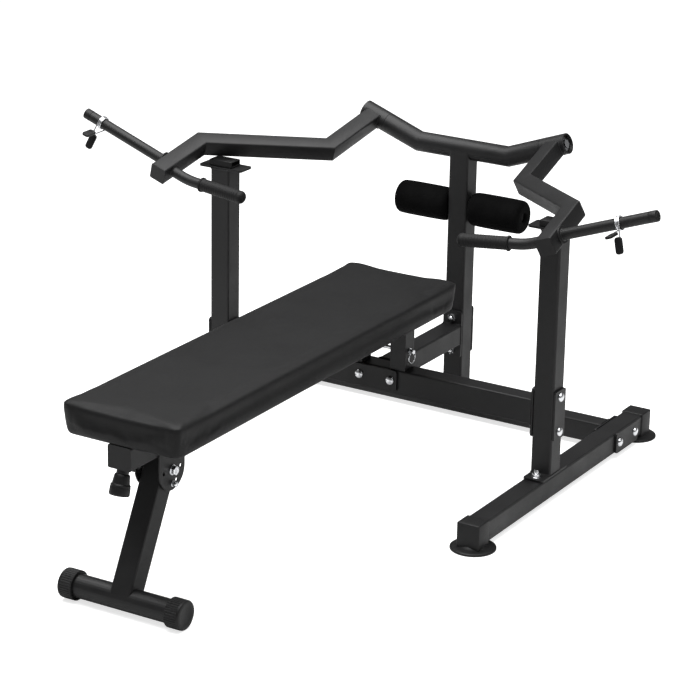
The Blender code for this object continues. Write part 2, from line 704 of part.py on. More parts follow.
# ---------------------------------------------------------------- rollers
def rollers():
    rod("roller_bar", ROLLER_BAR, -ROLLER_END + 0.008, ROLLER_END - 0.008, POWDER,
        (0, MAST_Y, ROLLER_Z), TURN[X_AXIS])
    soft = 0.012
    for side, sign in SIDES.items():
        profile = [(ROLLER_BAR + RUN, ROLLER_END)]
        for step in range(5):
            angle = step * pi / 8
            profile.append((ROLLER - soft + soft * sin(angle), ROLLER_END - soft + soft * cos(angle)))
        for step in range(5):
            angle = step * pi / 8
            profile.append((ROLLER - soft + soft * cos(angle), ROLLER_START + soft - soft * sin(angle)))
        profile.append((ROLLER_BAR + RUN, ROLLER_START))
        turned(f"foam_roller_{side}", profile, FOAM, (0, MAST_Y, ROLLER_Z), (0, sign * pi / 2, 0), closed=True)


# ---------------------------------------------------------------- bench
def bench_pad():
    length = PAD_REAR - PAD_FRONT
    middle = (PAD_REAR + PAD_FRONT) / 2
    height = PAD_TOP - PAD_BASE
    pad = box("bench_pad", (2 * PAD_HALF, length, height), (0, middle, PAD_BASE + height / 2), VINYL,
              PAD_CORNER, Z_AXIS, segments=5)
    soft = pad.modifiers.new("Soft edge", "BEVEL")
    soft.width = 0.009
    soft.segments = 2
    soft.limit_method = "ANGLE"
    soft.angle_limit = radians(60)
    inset = BOARD_INSET
    board = (2 * (PAD_HALF - inset), length - 2 * inset, BOARD)
    box("pad_board", board, (0, middle, PAD_BASE + BOARD / 2), PLYWOOD, 0.012, Z_AXIS, segments=4)
    recess = [size + 2 * GAP for size in board[:2]] + [2 * (BOARD + GAP)]
    combine(pad, box("pad_recess", recess, (0, middle, PAD_BASE), None, 0.012, Z_AXIS, segments=4))


def bench_frame():
    """Tube under the pad, the rear saddle that drops over the stubs, and the front plug."""
    rear = SADDLE_Y - ARM_TUBE / 2 - GAP
    square_tube("bench_tube", BENCH_WIDTH, TUBE, rear - BENCH_FRONT, Y_AXIS,
                (0, (rear + BENCH_FRONT) / 2, BENCH_MID))
    plug = tube_plug("bench_tube_plug", BENCH_WIDTH, TUBE, None)
    plug.location = (0, BENCH_FRONT, BENCH_MID)

    top = PAD_BASE - GAP
    reach = SADDLE_X + ARM_TUBE / 2
    saddle = box("rear_saddle", (2 * reach, ARM_TUBE, ARM_TUBE), (0, SADDLE_Y, top - ARM_TUBE / 2), POWDER)
    low = CROSS_TOP + GAP
    for side, sign in SIDES.items():
        height = top - ARM_TUBE + 0.001 - low
        spot = (sign * SADDLE_X, SADDLE_Y, low + height / 2)
        weld(saddle, box(f"saddle_leg_{side}", (ARM_TUBE, ARM_TUBE, height), spot, None))
        socket = 2 * (STUB + GAP)
        spot = (sign * SADDLE_X, SADDLE_Y, (STUB_TOP + GAP + low - 0.01) / 2)
        combine(saddle, box(f"saddle_socket_{side}", (socket, socket, STUB_TOP + GAP - low + 0.01), spot, None))
    drill(saddle, HITCH + RUN, (0, SADDLE_Y, HITCH_Z), X_AXIS, 0.3)


def hitch_pin():
    """Long pin through both rear legs, pulled out by its ring."""
    face = SADDLE_X + ARM_TUBE / 2 + GAP
    pin = turned("hitch_pin", [
        (0, face + 0.0110),
        (0.0045, face + 0.0110),
        (0.0058, face + 0.0095),
        (0.0058, face + 0.0012),
        (0.0075, face + 0.0012),
        (0.0075, face),
        (HITCH, face),
        (HITCH, -HITCH_REACH + 0.004),
        (0, -HITCH_REACH),
    ], ZINC, (0, SADDLE_Y, HITCH_Z), TURN[X_AXIS], steps=20)
    loop = 0.0135
    wire = 0.0013
    eye = face + 0.0055
    drill(pin, 0.0030, (eye, SADDLE_Y, HITCH_Z), Y_AXIS, 0.03, steps=12)
    turns = [2 * pi * step / 20 for step in range(20)]
    line = [(0, loop * sin(angle), loop * cos(angle) - loop) for angle in turns]
    add_object("hitch_ring", ring_wire("hitch_ring", line, wire), ZINC, (eye, SADDLE_Y, HITCH_Z))


def ring_wire(name, points, radius):
    """A closed loop of round wire."""
    shape = bmesh.new()
    curve = bpy.data.curves.new(name, "CURVE")
    curve.dimensions = "3D"
    curve.bevel_depth = radius
    curve.bevel_resolution = 2
    line = curve.splines.new("POLY")
    line.points.add(len(points) - 1)
    line.use_cyclic_u = True
    for spot, point in zip(line.points, points):
        spot.co = (*point, 1)
    guide = add_object(name + "_path", curve, None, group=TOOLS)
    bpy.context.view_layer.update()
    mesh = bpy.data.meshes.new_from_object(guide.evaluated_get(bpy.context.evaluated_depsgraph_get()))
    bpy.data.objects.remove(guide, do_unlink=True)
    shape.from_mesh(mesh)
    bpy.data.meshes.remove(mesh)
    return finish_mesh(name, shape)


# ---------------------------------------------------------------- front leg
def bracket_outline():
    """Leg bracket in its own Y, Z plane about the pivot: straight top and sides, round below."""
    top = BENCH_MID - HALF + 0.020 - LEG_PIVOT[1]
    loop = [(BRACKET, top), (-BRACKET, top)]
    for step in range(17):
        angle = pi + pi * step / 16
        loop.append((BRACKET * cos(angle), BRACKET * sin(angle)))
    return loop


def circle(radius, centre, steps=16):
    return [(centre[0] + radius * cos(2 * pi * step / steps), centre[1] + radius * sin(2 * pi * step / steps))
            for step in range(steps)]


def lock_spot():
    return (0.0, -HOLE_CIRCLE)


def leg_brackets():
    """Side plates that carry the leg's pivot and its row of lock holes."""
    holes = [(0.0, 0.0, PIVOT_BOLT + GAP)]
    for angle in (0, -pi / 3, -pi / 2, -pi):
        holes.append((HOLE_CIRCLE * cos(angle), HOLE_CIRCLE * sin(angle), LOCK_PIN + RUN))
    loops = [bracket_outline()] + [circle(radius, (y, z)) for y, z, radius in holes]
    for side, sign in SIDES.items():
        spot = (sign * (BENCH_WIDTH / 2 + GAP + BRACKET_PLATE / 2), *LEG_PIVOT)
        plate = flat_outline(f"leg_bracket_{side}", loops, BRACKET_PLATE, None, spot, (pi / 2, 0, pi / 2))
        plate.data.materials.append(POWDER)
    face = BENCH_WIDTH / 2 + GAP + BRACKET_PLATE
    turned("leg_pivot_bolt", [
        (0, face + 0.0110),
        (0.0090, face + 0.0110),
        (0.0100, face + 0.0100),
        (0.0100, face + 0.0020),
        (0.0115, face + 0.0020),
        (0.0115, face + GAP),
        (PIVOT_BOLT, face + GAP),
        (PIVOT_BOLT, -face - GAP),
        (0.0100, -face - GAP),
        (0.0100, -face - 0.0090),
        (0, -face - 0.0090),
    ], ZINC, (0, *LEG_PIVOT), TURN[X_AXIS], steps=20)
    tip = BENCH_WIDTH / 2 + 2 * GAP
    turned("leg_lock_pin", [
        (0, face + 0.0130),
        (0.0060, face + 0.0125),
        (0.0070, face + 0.0105),
        (0.0070, face + GAP),
        (LOCK_PIN, face + GAP),
        (LOCK_PIN, tip),
        (0, tip),
    ], ZINC, (0, LEG_PIVOT[0] + lock_spot()[0], LEG_PIVOT[1] + lock_spot()[1]), TURN[X_AXIS], steps=16)


def front_leg():
    """Folding leg with its welded foot tube, and the fluted caps on the foot's ends."""
    pivot = Vector((0, *LEG_PIVOT))
    foot = Vector((0, *LEG_FOOT))
    run = foot - pivot
    lean = Vector((0, 0, -1)).angle(run)
    leg_axis = add_empty("leg_axis", pivot, (-lean, 0, 0))
    low = -run.length
    top = (LEG_HEAD + low + 0.003) / 2
    leg = box("front_leg", (TUBE, TUBE, LEG_HEAD - low - 0.003), (0, 0, top), POWDER, CORNER, Z_AXIS, leg_axis)
    drill(leg, PIVOT_BOLT + RUN, (0, 0, 0), X_AXIS, 0.2, leg_axis)
    end = FOOT_HALF - 0.004
    weld(leg, rod("leg_foot_tube", FOOT_TUBE, -end, end, None, (0, 0, low), TURN[X_AXIS], leg_axis, 32))
    inside = TUBE - 2 * WALL
    depth = LEG_HEAD - low - 0.012 + 0.010
    combine(leg, box("leg_hollow", (inside, inside, depth), (0, 0, low + 0.012 + depth / 2), None,
                     CORNER - WALL, Z_AXIS, leg_axis))
    combine(leg, rod("leg_foot_bore", FOOT_TUBE - WALL, -end - 0.01, end + 0.01, None,
                     (0, 0, low), TURN[X_AXIS], leg_axis, 32))
    for side, sign in SIDES.items():
        inner = FOOT_HALF - FOOT_CAP_LENGTH
        turned(f"leg_foot_cap_{side}", [
            (0, FOOT_HALF),
            (FOOT_CAP - 0.003, FOOT_HALF),
            (FOOT_CAP, FOOT_HALF - 0.003),
            (FOOT_CAP, inner),
            (FOOT_TUBE + GAP, inner),
            (FOOT_TUBE + GAP, end + GAP),
            (0, end + GAP),
        ], PLASTIC, (0, 0, low), (0, sign * pi / 2, 0), leg_axis, steps=32)


def pull_knob():
    """Spring plunger under the bench tube's front end, its knob leaning forwards."""
    lean = add_empty("knob_axis", (0, *KNOB_TOP), (-KNOB_LEAN, 0, 0))
    base = -GAP
    housing = ring("knob_housing", 0.0130, 0.0050 + RUN, -0.012, 0.012, POWDER, parent=lean)
    combine(housing, box("knob_housing_seat", (0.06, 0.06, 0.04),
                         (0, KNOB_TOP[0], KNOB_TOP[1] + 0.02 + base), None))
    turned("pull_knob", [
        (0, -0.0040),
        (0.0050, -0.0040),
        (0.0050, -0.0125),
        (0.0148, -0.0125),
        (0.0160, -0.0150),
        (0.0182, -0.0320),
        (0.0208, -0.0350),
        (0.0216, -0.0540),
        (0.0196, -0.0570),
        (0, -0.0570),
    ], PLASTIC, parent=lean)


# ---------------------------------------------------------------- assembly
for side_name, side_sign in SIDES.items():
    base_rail(side_name, side_sign)
    side_post(side_name, side_sign)
    lever_arm(side_name, side_sign)
foot_caps()
rear_cross_tube()
main_cross_tube()
spine_and_plates()
mast_and_yoke()
rollers()
bench_pad()
bench_frame()
hitch_pin()
leg_brackets()
front_leg()
pull_knob()
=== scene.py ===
"""Upholstery, grips, hardware and finishes of a weight bench with lever arms."""
import json
from math import cos, pi, radians, sin

import bmesh
import bpy
from bpy.props import FloatProperty, FloatVectorProperty, IntProperty, PointerProperty
from bpy.types import Operator, Panel, PropertyGroup
from mathutils import Matrix, Vector


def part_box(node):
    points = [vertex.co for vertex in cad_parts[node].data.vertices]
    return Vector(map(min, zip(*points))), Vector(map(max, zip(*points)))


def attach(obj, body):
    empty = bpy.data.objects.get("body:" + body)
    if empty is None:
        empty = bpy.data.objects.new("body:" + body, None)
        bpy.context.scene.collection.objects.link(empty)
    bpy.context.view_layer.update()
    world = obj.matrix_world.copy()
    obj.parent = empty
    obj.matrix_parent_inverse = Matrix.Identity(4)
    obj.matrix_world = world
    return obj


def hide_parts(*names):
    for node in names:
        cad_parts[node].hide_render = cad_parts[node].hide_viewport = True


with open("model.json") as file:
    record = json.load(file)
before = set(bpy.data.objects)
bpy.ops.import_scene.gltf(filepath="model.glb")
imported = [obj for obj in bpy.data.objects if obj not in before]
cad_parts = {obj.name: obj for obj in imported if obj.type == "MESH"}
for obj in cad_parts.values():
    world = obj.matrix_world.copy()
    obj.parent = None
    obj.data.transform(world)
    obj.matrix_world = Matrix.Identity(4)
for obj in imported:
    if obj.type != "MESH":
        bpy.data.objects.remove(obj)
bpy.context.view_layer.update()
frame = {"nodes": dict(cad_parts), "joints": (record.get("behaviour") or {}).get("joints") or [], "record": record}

bl_info = {
    "name": "Lever-arm weight bench",
    "version": (1, 0, 0),
    "blender": (4, 5, 0),
    "location": "View3D > Sidebar > Weight bench",
    "description": "Upholstery, grips, hardware and finishes of a weight bench with lever arms",
    "category": "Add Mesh",
}

JOINTS = {joint["name"]: joint for joint in frame["joints"]}
SIDES = {"left": -1, "right": 1}
TILT = radians(20)           # rise of the yoke's ends and of the pegs
DROOP = radians(14.7)        # fall of the resting arms
GAP = 0.0003
COVER = 0.0003               # a cover piece stands this far outside the solid it hides
FRAME_BODY = "frame"


# ------------------------------------------------------------------ sizes and colours
class BenchPadSizes(PropertyGroup):
    """What the pad is made of and how hard it is stuffed."""

    corner: FloatProperty(name="Corner radius", description="Rounding of the pad's corners, seen from above",
                          default=0.020, min=0.01, max=0.08, unit="LENGTH")
    stuffing: FloatProperty(name="Stuffing", description="How hard the foam presses the cover outwards",
                            default=2.6, min=0.5, max=8.0)
    swell: FloatProperty(name="Largest swell", description="The furthest the cover may be pushed out",
                         default=0.0045, min=0.001, max=0.02, unit="LENGTH")
    seam_drop: FloatProperty(name="Seam below the top", description="Height from the top to the welt seam",
                             default=0.0072, min=0.003, max=0.03, unit="LENGTH")
    seam_depth: FloatProperty(name="Seam depth", description="How far the welt seam pulls in",
                              default=0.0008, min=0.0, max=0.005, unit="LENGTH")
    cover_colour: FloatVectorProperty(name="Cover colour", description="Colour of the imitation leather",
                                      subtype="COLOR", size=3, default=(0.0048, 0.0048, 0.0050), min=0, max=1)


class BenchFrameFinish(PropertyGroup):
    """Paint and plating."""

    paint_colour: FloatVectorProperty(name="Paint colour", description="Colour of the powder coat",
                                      subtype="COLOR", size=3, default=(0.0085, 0.0085, 0.0088), min=0, max=1)
    paint_gloss: FloatProperty(name="Paint roughness", description="Roughness of the powder coat",
                               subtype="FACTOR", default=0.44, min=0.05, max=1.0)
    zinc_colour: FloatVectorProperty(name="Plating colour", description="Colour of bolts, pins and springs",
                                     subtype="COLOR", size=3, default=(0.80, 0.81, 0.83), min=0, max=1)
    plastic_colour: FloatVectorProperty(name="Plastic colour", description="Colour of caps, plugs and knob",
                                        subtype="COLOR", size=3, default=(0.0070, 0.0070, 0.0073),
                                        min=0, max=1)
    arm_edge: FloatProperty(name="Arm tube corner", description="Rounding of the lever arms' square tube",
                            default=0.0042, min=0.001, max=0.01, unit="LENGTH")


class BenchHardware(PropertyGroup):
    """Grips, rollers, caps and bolts."""

    grip_rings: IntProperty(name="Grip rings", description="Moulded rings along each hand grip",
                            default=15, min=0, max=40)
    grip_groove: FloatProperty(name="Grip groove depth", description="Depth between the grip's rings",
                               default=0.0005, min=0.0, max=0.002, unit="LENGTH")
    foam_edge: FloatProperty(name="Roller edge radius", description="Rounding of a foam roller's ends",
                             default=0.0115, min=0.002, max=0.02, unit="LENGTH")
    foot_ribs: IntProperty(name="Foot cap ribs", description="Ribs round each cap of the folding foot",
                           default=40, min=12, max=80)
    bolt_crown: FloatProperty(name="Bolt head height", description="Height of the domed bolt heads",
                              default=0.0068, min=0.003, max=0.012, unit="LENGTH")


# ------------------------------------------------------------------ shading
def blank_material(name):
    made = bpy.data.materials.new(name)
    made.use_nodes = True
    return made, made.node_tree.nodes, made.node_tree.links, made.node_tree.nodes["Principled BSDF"]


def object_noise(nodes, links, scale, detail=3.0, roughness=0.55, stretch=None):
    place = nodes.new("ShaderNodeTexCoord")
    grain = nodes.new("ShaderNodeTexNoise")
    grain.inputs["Scale"].default_value = scale
    grain.inputs["Detail"].default_value = detail
    grain.inputs["Roughness"].default_value = roughness
    if stretch:
        mapping = nodes.new("ShaderNodeMapping")
        mapping.inputs["Scale"].default_value = stretch
        links.new(place.outputs["Object"], mapping.inputs["Vector"])
        links.new(mapping.outputs["Vector"], grain.inputs["Vector"])
    else:
        links.new(place.outputs["Object"], grain.inputs["Vector"])
    return grain


def spread(nodes, links, source, low, high):
    """Map a 0-1 pattern to a range of values."""
    step = nodes.new("ShaderNodeMapRange")
    step.inputs["From Min"].default_value = 0.3
    step.inputs["From Max"].default_value = 0.7
    step.inputs["To Min"].default_value = low
    step.inputs["To Max"].default_value = high
    links.new(source, step.inputs["Value"])
    return step.outputs["Result"]


def tint(nodes, links, source, dark, light):
    """Map a 0-1 pattern to a range of colours."""
    ramp = nodes.new("ShaderNodeValToRGB")
    ramp.color_ramp.elements[0].position = 0.3
    ramp.color_ramp.elements[0].color = (*dark, 1)
    ramp.color_ramp.elements[1].position = 0.7
    ramp.color_ramp.elements[1].color = (*light, 1)
    links.new(source, ramp.inputs["Fac"])
    return ramp.outputs["Color"]


def shade(colour, amount):
    return tuple(min(1.0, max(0.0, part * amount)) for part in colour)


def add_bump(nodes, links, shader, height, strength, distance):
    bump = nodes.new("ShaderNodeBump")
    bump.inputs["Strength"].default_value = strength
    bump.inputs["Distance"].default_value = distance
    links.new(height, bump.inputs["Height"])
    links.new(bump.outputs["Normal"], shader.inputs["Normal"])


def powder_coat(colour, roughness):
    """Satin powder coat: fine orange peel, slightly uneven gloss, faint dusting."""
    made, nodes, links, shader = blank_material("satin_powder_coat")
    peel = object_noise(nodes, links, 900, 2)
    cloud = object_noise(nodes, links, 14, 4)
    links.new(tint(nodes, links, cloud.outputs["Fac"], shade(colour, 0.90), shade(colour, 1.14)),
              shader.inputs["Base Color"])
    links.new(spread(nodes, links, cloud.outputs["Fac"], roughness - 0.04, roughness + 0.07),
              shader.inputs["Roughness"])
    shader.inputs["Specular IOR Level"].default_value = 0.30
    add_bump(nodes, links, shader, peel.outputs["Fac"], 0.22, 0.0004)
    return made


def moulded_plastic(name, colour, roughness, grain):
    """Moulded plastic with a fine spark-eroded grain."""
    made, nodes, links, shader = blank_material(name)
    fine = object_noise(nodes, links, grain, 2)
    cloud = object_noise(nodes, links, 35, 3)
    links.new(tint(nodes, links, cloud.outputs["Fac"], shade(colour, 0.88), shade(colour, 1.15)),
              shader.inputs["Base Color"])
    links.new(spread(nodes, links, fine.outputs["Fac"], roughness - 0.06, roughness + 0.08),
              shader.inputs["Roughness"])
    shader.inputs["Specular IOR Level"].default_value = 0.26
    add_bump(nodes, links, shader, fine.outputs["Fac"], 0.30, 0.0004)
    return made


def imitation_leather(colour):
    """Pebbled vinyl: cells of grain with smooth tops, soft sheen, slow colour drift."""
    made, nodes, links, shader = blank_material("pebbled_vinyl")
    place = nodes.new("ShaderNodeTexCoord")
    cells = nodes.new("ShaderNodeTexVoronoi")
    cells.feature = "DISTANCE_TO_EDGE"
    cells.inputs["Scale"].default_value = 420
    cells.inputs["Randomness"].default_value = 0.9
    warp = object_noise(nodes, links, 160, 2)
    bend = nodes.new("ShaderNodeMix")
    bend.data_type = "VECTOR"
    bend.inputs["Factor"].default_value = 0.012
    links.new(place.outputs["Object"], bend.inputs[4])
    links.new(warp.outputs["Color"], bend.inputs[5])
    links.new(bend.outputs[1], cells.inputs["Vector"])
    pebble = nodes.new("ShaderNodeMapRange")
    pebble.inputs["From Max"].default_value = 0.22
    links.new(cells.outputs["Distance"], pebble.inputs["Value"])
    drift = object_noise(nodes, links, 7, 4)
    links.new(tint(nodes, links, drift.outputs["Fac"], shade(colour, 0.90), shade(colour, 1.12)),
              shader.inputs["Base Color"])
    links.new(spread(nodes, links, drift.outputs["Fac"], 0.50, 0.60), shader.inputs["Roughness"])
    shader.inputs["Specular IOR Level"].default_value = 0.21
    shader.inputs["Sheen Weight"].default_value = 0.01
    shader.inputs["Sheen Roughness"].default_value = 0.5
    add_bump(nodes, links, shader, pebble.outputs["Result"], 0.30, 0.0005)
    return made


def closed_cell_foam():
    """Matt black foam rubber with an open, crumbly skin."""
    made, nodes, links, shader = blank_material("closed_cell_foam")
    pores = object_noise(nodes, links, 650, 4, 0.7)
    cloud = object_noise(nodes, links, 30, 3)
    links.new(tint(nodes, links, cloud.outputs["Fac"], (0.0014, 0.0014, 0.0015), (0.0030, 0.0030, 0.0031)),
              shader.inputs["Base Color"])
    links.new(spread(nodes, links, pores.outputs["Fac"], 0.78, 0.95), shader.inputs["Roughness"])
    shader.inputs["Specular IOR Level"].default_value = 0.06
    add_bump(nodes, links, shader, pores.outputs["Fac"], 0.55, 0.0009)
    return made


def plated_metal(name, colour, roughness):
    """Bright plating with faint tumbling marks."""
    made, nodes, links, shader = blank_material(name)
    marks = object_noise(nodes, links, 240, 4, 0.6)
    shader.inputs["Metallic"].default_value = 1.0
    links.new(tint(nodes, links, marks.outputs["Fac"], shade(colour, 0.90), shade(colour, 1.04)),
              shader.inputs["Base Color"])
    links.new(spread(nodes, links, marks.outputs["Fac"], roughness - 0.05, roughness + 0.09),
              shader.inputs["Roughness"])
    add_bump(nodes, links, shader, marks.outputs["Fac"], 0.06, 0.0003)
    return made


def birch_board():
    """Raw plywood with its grain along the pad."""
    made, nodes, links, shader = blank_material("birch_board")
    grain = object_noise(nodes, links, 60, 5, 0.6, (6, 0.4, 6))
    links.new(tint(nodes, links, grain.outputs["Fac"], (0.36, 0.25, 0.14), (0.50, 0.37, 0.23)),
              shader.inputs["Base Color"])
    shader.inputs["Roughness"].default_value = 0.75
    return made


def finishes(scene):
    """Every finish of the bench, made once and then shared."""
    store = {name: bpy.data.materials.get(name) for name in (
        "satin_powder_coat", "moulded_black", "ribbed_rubber", "pebbled_vinyl", "closed_cell_foam",
        "bright_zinc", "oiled_bronze", "birch_board")}
    paint = scene.bench_finish
    if store["satin_powder_coat"] is None:
        store["satin_powder_coat"] = powder_coat(tuple(paint.paint_colour), paint.paint_gloss)
        store["moulded_black"] = moulded_plastic("moulded_black", tuple(paint.plastic_colour), 0.46, 1400)
        store["ribbed_rubber"] = moulded_plastic("ribbed_rubber", (0.0045, 0.0045, 0.0047), 0.62, 800)
        store["pebbled_vinyl"] = imitation_leather(tuple(scene.bench_pad_sizes.cover_colour))
        store["closed_cell_foam"] = closed_cell_foam()
        store["bright_zinc"] = plated_metal("bright_zinc", tuple(paint.zinc_colour), 0.20)
        store["oiled_bronze"] = plated_metal("oiled_bronze", (0.50, 0.36, 0.18), 0.34)
        store["birch_board"] = birch_board()
    return store


SLOT_FINISH = {
    "black_powder_coat": "satin_powder_coat",
    "black_plastic": "moulded_black",
    "black_rubber": "ribbed_rubber",
    "charcoal_vinyl": "pebbled_vinyl",
    "black_foam": "closed_cell_foam",
    "zinc_plate": "bright_zinc",
    "bush_bronze": "oiled_bronze",
    "plywood": "birch_board",
}


# ------------------------------------------------------------------ shaping
def turned_shape(profile, steps=48, closed=False):
    """Spin (radius, height) points about Z."""
    shape = bmesh.new()
    points = [shape.verts.new((radius, 0, height)) for radius, height in profile]
    edges = [shape.edges.new(pair) for pair in zip(points, points[1:])]
    if closed:
        edges.append(shape.edges.new((points[-1], points[0])))
    bmesh.ops.spin(shape, geom=points + edges, cent=(0, 0, 0), axis=(0, 0, 1), dvec=(0, 0, 0),
                   angle=2 * pi, steps=steps, use_merge=True, use_duplicate=False)
    bmesh.ops.remove_doubles(shape, verts=shape.verts, dist=0.000002)
    bmesh.ops.recalc_face_normals(shape, faces=shape.faces)
    return shape


def rounded(profile_end, radius, height, turn_up, steps=5):
    """A quarter-round from a profile's rim: points from the side to the face."""
    rim = []
    for step in range(steps + 1):
        angle = pi / 2 * step / steps
        rim.append((profile_end - radius * (1 - cos(angle)), height - turn_up * radius * (1 - sin(angle))))
    return rim


def block_shape(size, centre, corner=0.0, segments=3, axis=None):
    """A block with all its edges, or only those along one axis, rounded."""
    shape = bmesh.new()
    bmesh.ops.create_cube(shape, size=1)
    bmesh.ops.scale(shape, vec=size, verts=shape.verts)
    if corner:
        edges = list(shape.edges)
        if axis is not None:
            edges = [edge for edge in edges
                     if abs((edge.verts[0].co - edge.verts[1].co).normalized()[axis]) > 0.99]
        bmesh.ops.bevel(shape, geom=edges, offset=corner, affect="EDGES", segments=segments,
                        profile=0.5, material=-1)
    bmesh.ops.translate(shape, vec=centre, verts=shape.verts)
    return shape


def sink_faces(shape, faces, margin, step):
    """Move faces by a step, leaving a margin round them."""
    bmesh.ops.inset_region(shape, faces=faces, thickness=margin, use_even_offset=True)
    bmesh.ops.translate(shape, vec=step, verts=list({vert for face in faces for vert in face.verts}))


def wire_shape(points, radius, closed=False, sides=4):
    """Round wire or bar along points, as a mesh."""
    curve = bpy.data.curves.new("wire_guide", "CURVE")
    curve.dimensions = "3D"
    curve.bevel_depth = radius
    curve.bevel_resolution = sides
    curve.use_fill_caps = not closed
    line = curve.splines.new("POLY")
    line.points.add(len(points) - 1)
    line.use_cyclic_u = closed
    for spot, point in zip(line.points, points):
        spot.co = (*point, 1)
    guide = bpy.data.objects.new("wire_guide", curve)
    bpy.context.scene.collection.objects.link(guide)
    bpy.context.view_layer.update()
    mesh = bpy.data.meshes.new_from_object(guide.evaluated_get(bpy.context.evaluated_depsgraph_get()))
    bpy.data.objects.remove(guide, do_unlink=True)
    bpy.data.curves.remove(curve)
    shape = bmesh.new()
    shape.from_mesh(mesh)
    bpy.data.meshes.remove(mesh)
    bmesh.ops.remove_doubles(shape, verts=shape.verts, dist=0.000005)
    bmesh.ops.recalc_face_normals(shape, faces=shape.faces)
    return shape


def gather(shapes):
    """Several shapes in one mesh."""
    whole = bmesh.new()
    for shape in shapes:
        part = bpy.data.meshes.new("part")
        shape.to_mesh(part)
        shape.free()
        whole.from_mesh(part)
        bpy.data.meshes.remove(part)
    return whole


def moved(shape, place):
    bmesh.ops.transform(shape, matrix=place, verts=shape.verts)
    return shape


def aim_matrix(spot, direction):
    """Puts a shape's Z axis along a direction, at a spot."""
    turn = Vector(direction).normalized().to_track_quat("Z", "Y").to_matrix().to_4x4()
    return Matrix.Translation(spot) @ turn


def make_piece(name, shape, slot, body, hides=(), sharp=38):
    """Turn a shape into a piece at the origin that rides on a body and has its slot's finish."""
    mesh = bpy.data.meshes.new(name)
    shape.to_mesh(mesh)
    shape.free()
    mesh.shade_smooth()
    mesh.set_sharp_from_angle(angle=radians(sharp))
    piece = bpy.data.objects.new(name, mesh)
    bpy.context.scene.collection.objects.link(piece)
    mesh.materials.append(finishes(bpy.context.scene)[SLOT_FINISH[slot]])
    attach(piece, body)
    if hides:
        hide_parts(*hides)
    return piece


def arm_place(sign):
    """From a lever arm's own frame (X along its pivot, -Y forwards) to the bench."""
    side = "right" if sign > 0 else "left"
    pivot = Vector(JOINTS[f"arm_swing_{side}"]["pos_m"])
    return Matrix.Translation(pivot) @ Matrix.Rotation(-sign * TILT, 4, "Y") @ Matrix.Rotation(DROOP, 4, "X")


# ------------------------------------------------------------------ pad
PAD_MESH = 0.0062                                   # spacing of the cloth's mesh
BELOW_LOW = Vector((0.0092, 0.0090, 0.0032))        # how far the cover stands out past the pad's solid
PAST_HIGH = Vector((0.0092, 0.0042, 0.0044))
HEAD_RISE = 0.0034
HELD_STRIP = 0.006                                  # the cloth is held this far up from the underside
SEAM_REACH = 0.0036
CORNER_REACH = 0.045


def stuffed_pad(low, high, sizes):
    """Closed pad shell whose sides draw in towards the board."""
    size = high - low
    middle = (high + low) / 2
    shape = block_shape(size, middle, sizes.corner, 8, 2)
    for level, offset in ((high.z, 0.0050), (low.z, 0.0050)):
        rim = [edge for edge in shape.edges if all(abs(vert.co.z - level) < 0.0001 for vert in edge.verts)]
        bmesh.ops.bevel(shape, geom=rim, offset=offset, affect="EDGES", segments=4, profile=0.5, material=-1)
    for vert in shape.verts:
        lean = 0.0105 * max(0.0, (high.z - vert.co.z) / size.z - 0.15)
        vert.co.x -= (1 if vert.co.x > 0 else -1) * lean
        vert.co.y -= (1 if vert.co.y > middle.y else -1) * lean
    return shape


def inflate(piece, sizes, voxel, held_below):
    """Press the cover outwards with the cloth solver, hold its underside, and keep the result."""
    remesh = piece.modifiers.new("Even mesh", "REMESH")
    remesh.mode = "VOXEL"
    remesh.voxel_size = voxel
    bake(piece)
    rest = [vert.co.copy() for vert in piece.data.vertices]
    held = piece.vertex_groups.new(name="held")
    held.add([vert.index for vert in piece.data.vertices if vert.co.z < held_below], 1.0, "REPLACE")
    cloth = piece.modifiers.new("Stuffing", "CLOTH")
    cloth.settings.use_pressure = True
    cloth.settings.uniform_pressure_force = sizes.stuffing
    cloth.settings.quality = 5
    cloth.settings.tension_stiffness = 25
    cloth.settings.compression_stiffness = 25
    cloth.settings.vertex_group_mass = "held"
    cloth.settings.effector_weights.gravity = 0
    cloth.collision_settings.use_collision = False
    cloth.point_cache.frame_start = 1
    cloth.point_cache.frame_end = 20
    for number in range(1, 21):
        bpy.context.scene.frame_set(number)
    bake(piece)
    bpy.context.scene.frame_set(1)
    for vert, start in zip(piece.data.vertices, rest):
        push = vert.co - start
        if push.length > sizes.swell:
            vert.co = start + push.normalized() * sizes.swell
    piece.vertex_groups.clear()


def bake(piece):
    """Apply every modifier of a piece to its mesh."""
    bpy.context.view_layer.update()
    view = bpy.context.evaluated_depsgraph_get()
    mesh = bpy.data.meshes.new_from_object(piece.evaluated_get(view))
    old = piece.data
    piece.modifiers.clear()
    piece.data = mesh
    bpy.data.meshes.remove(old)


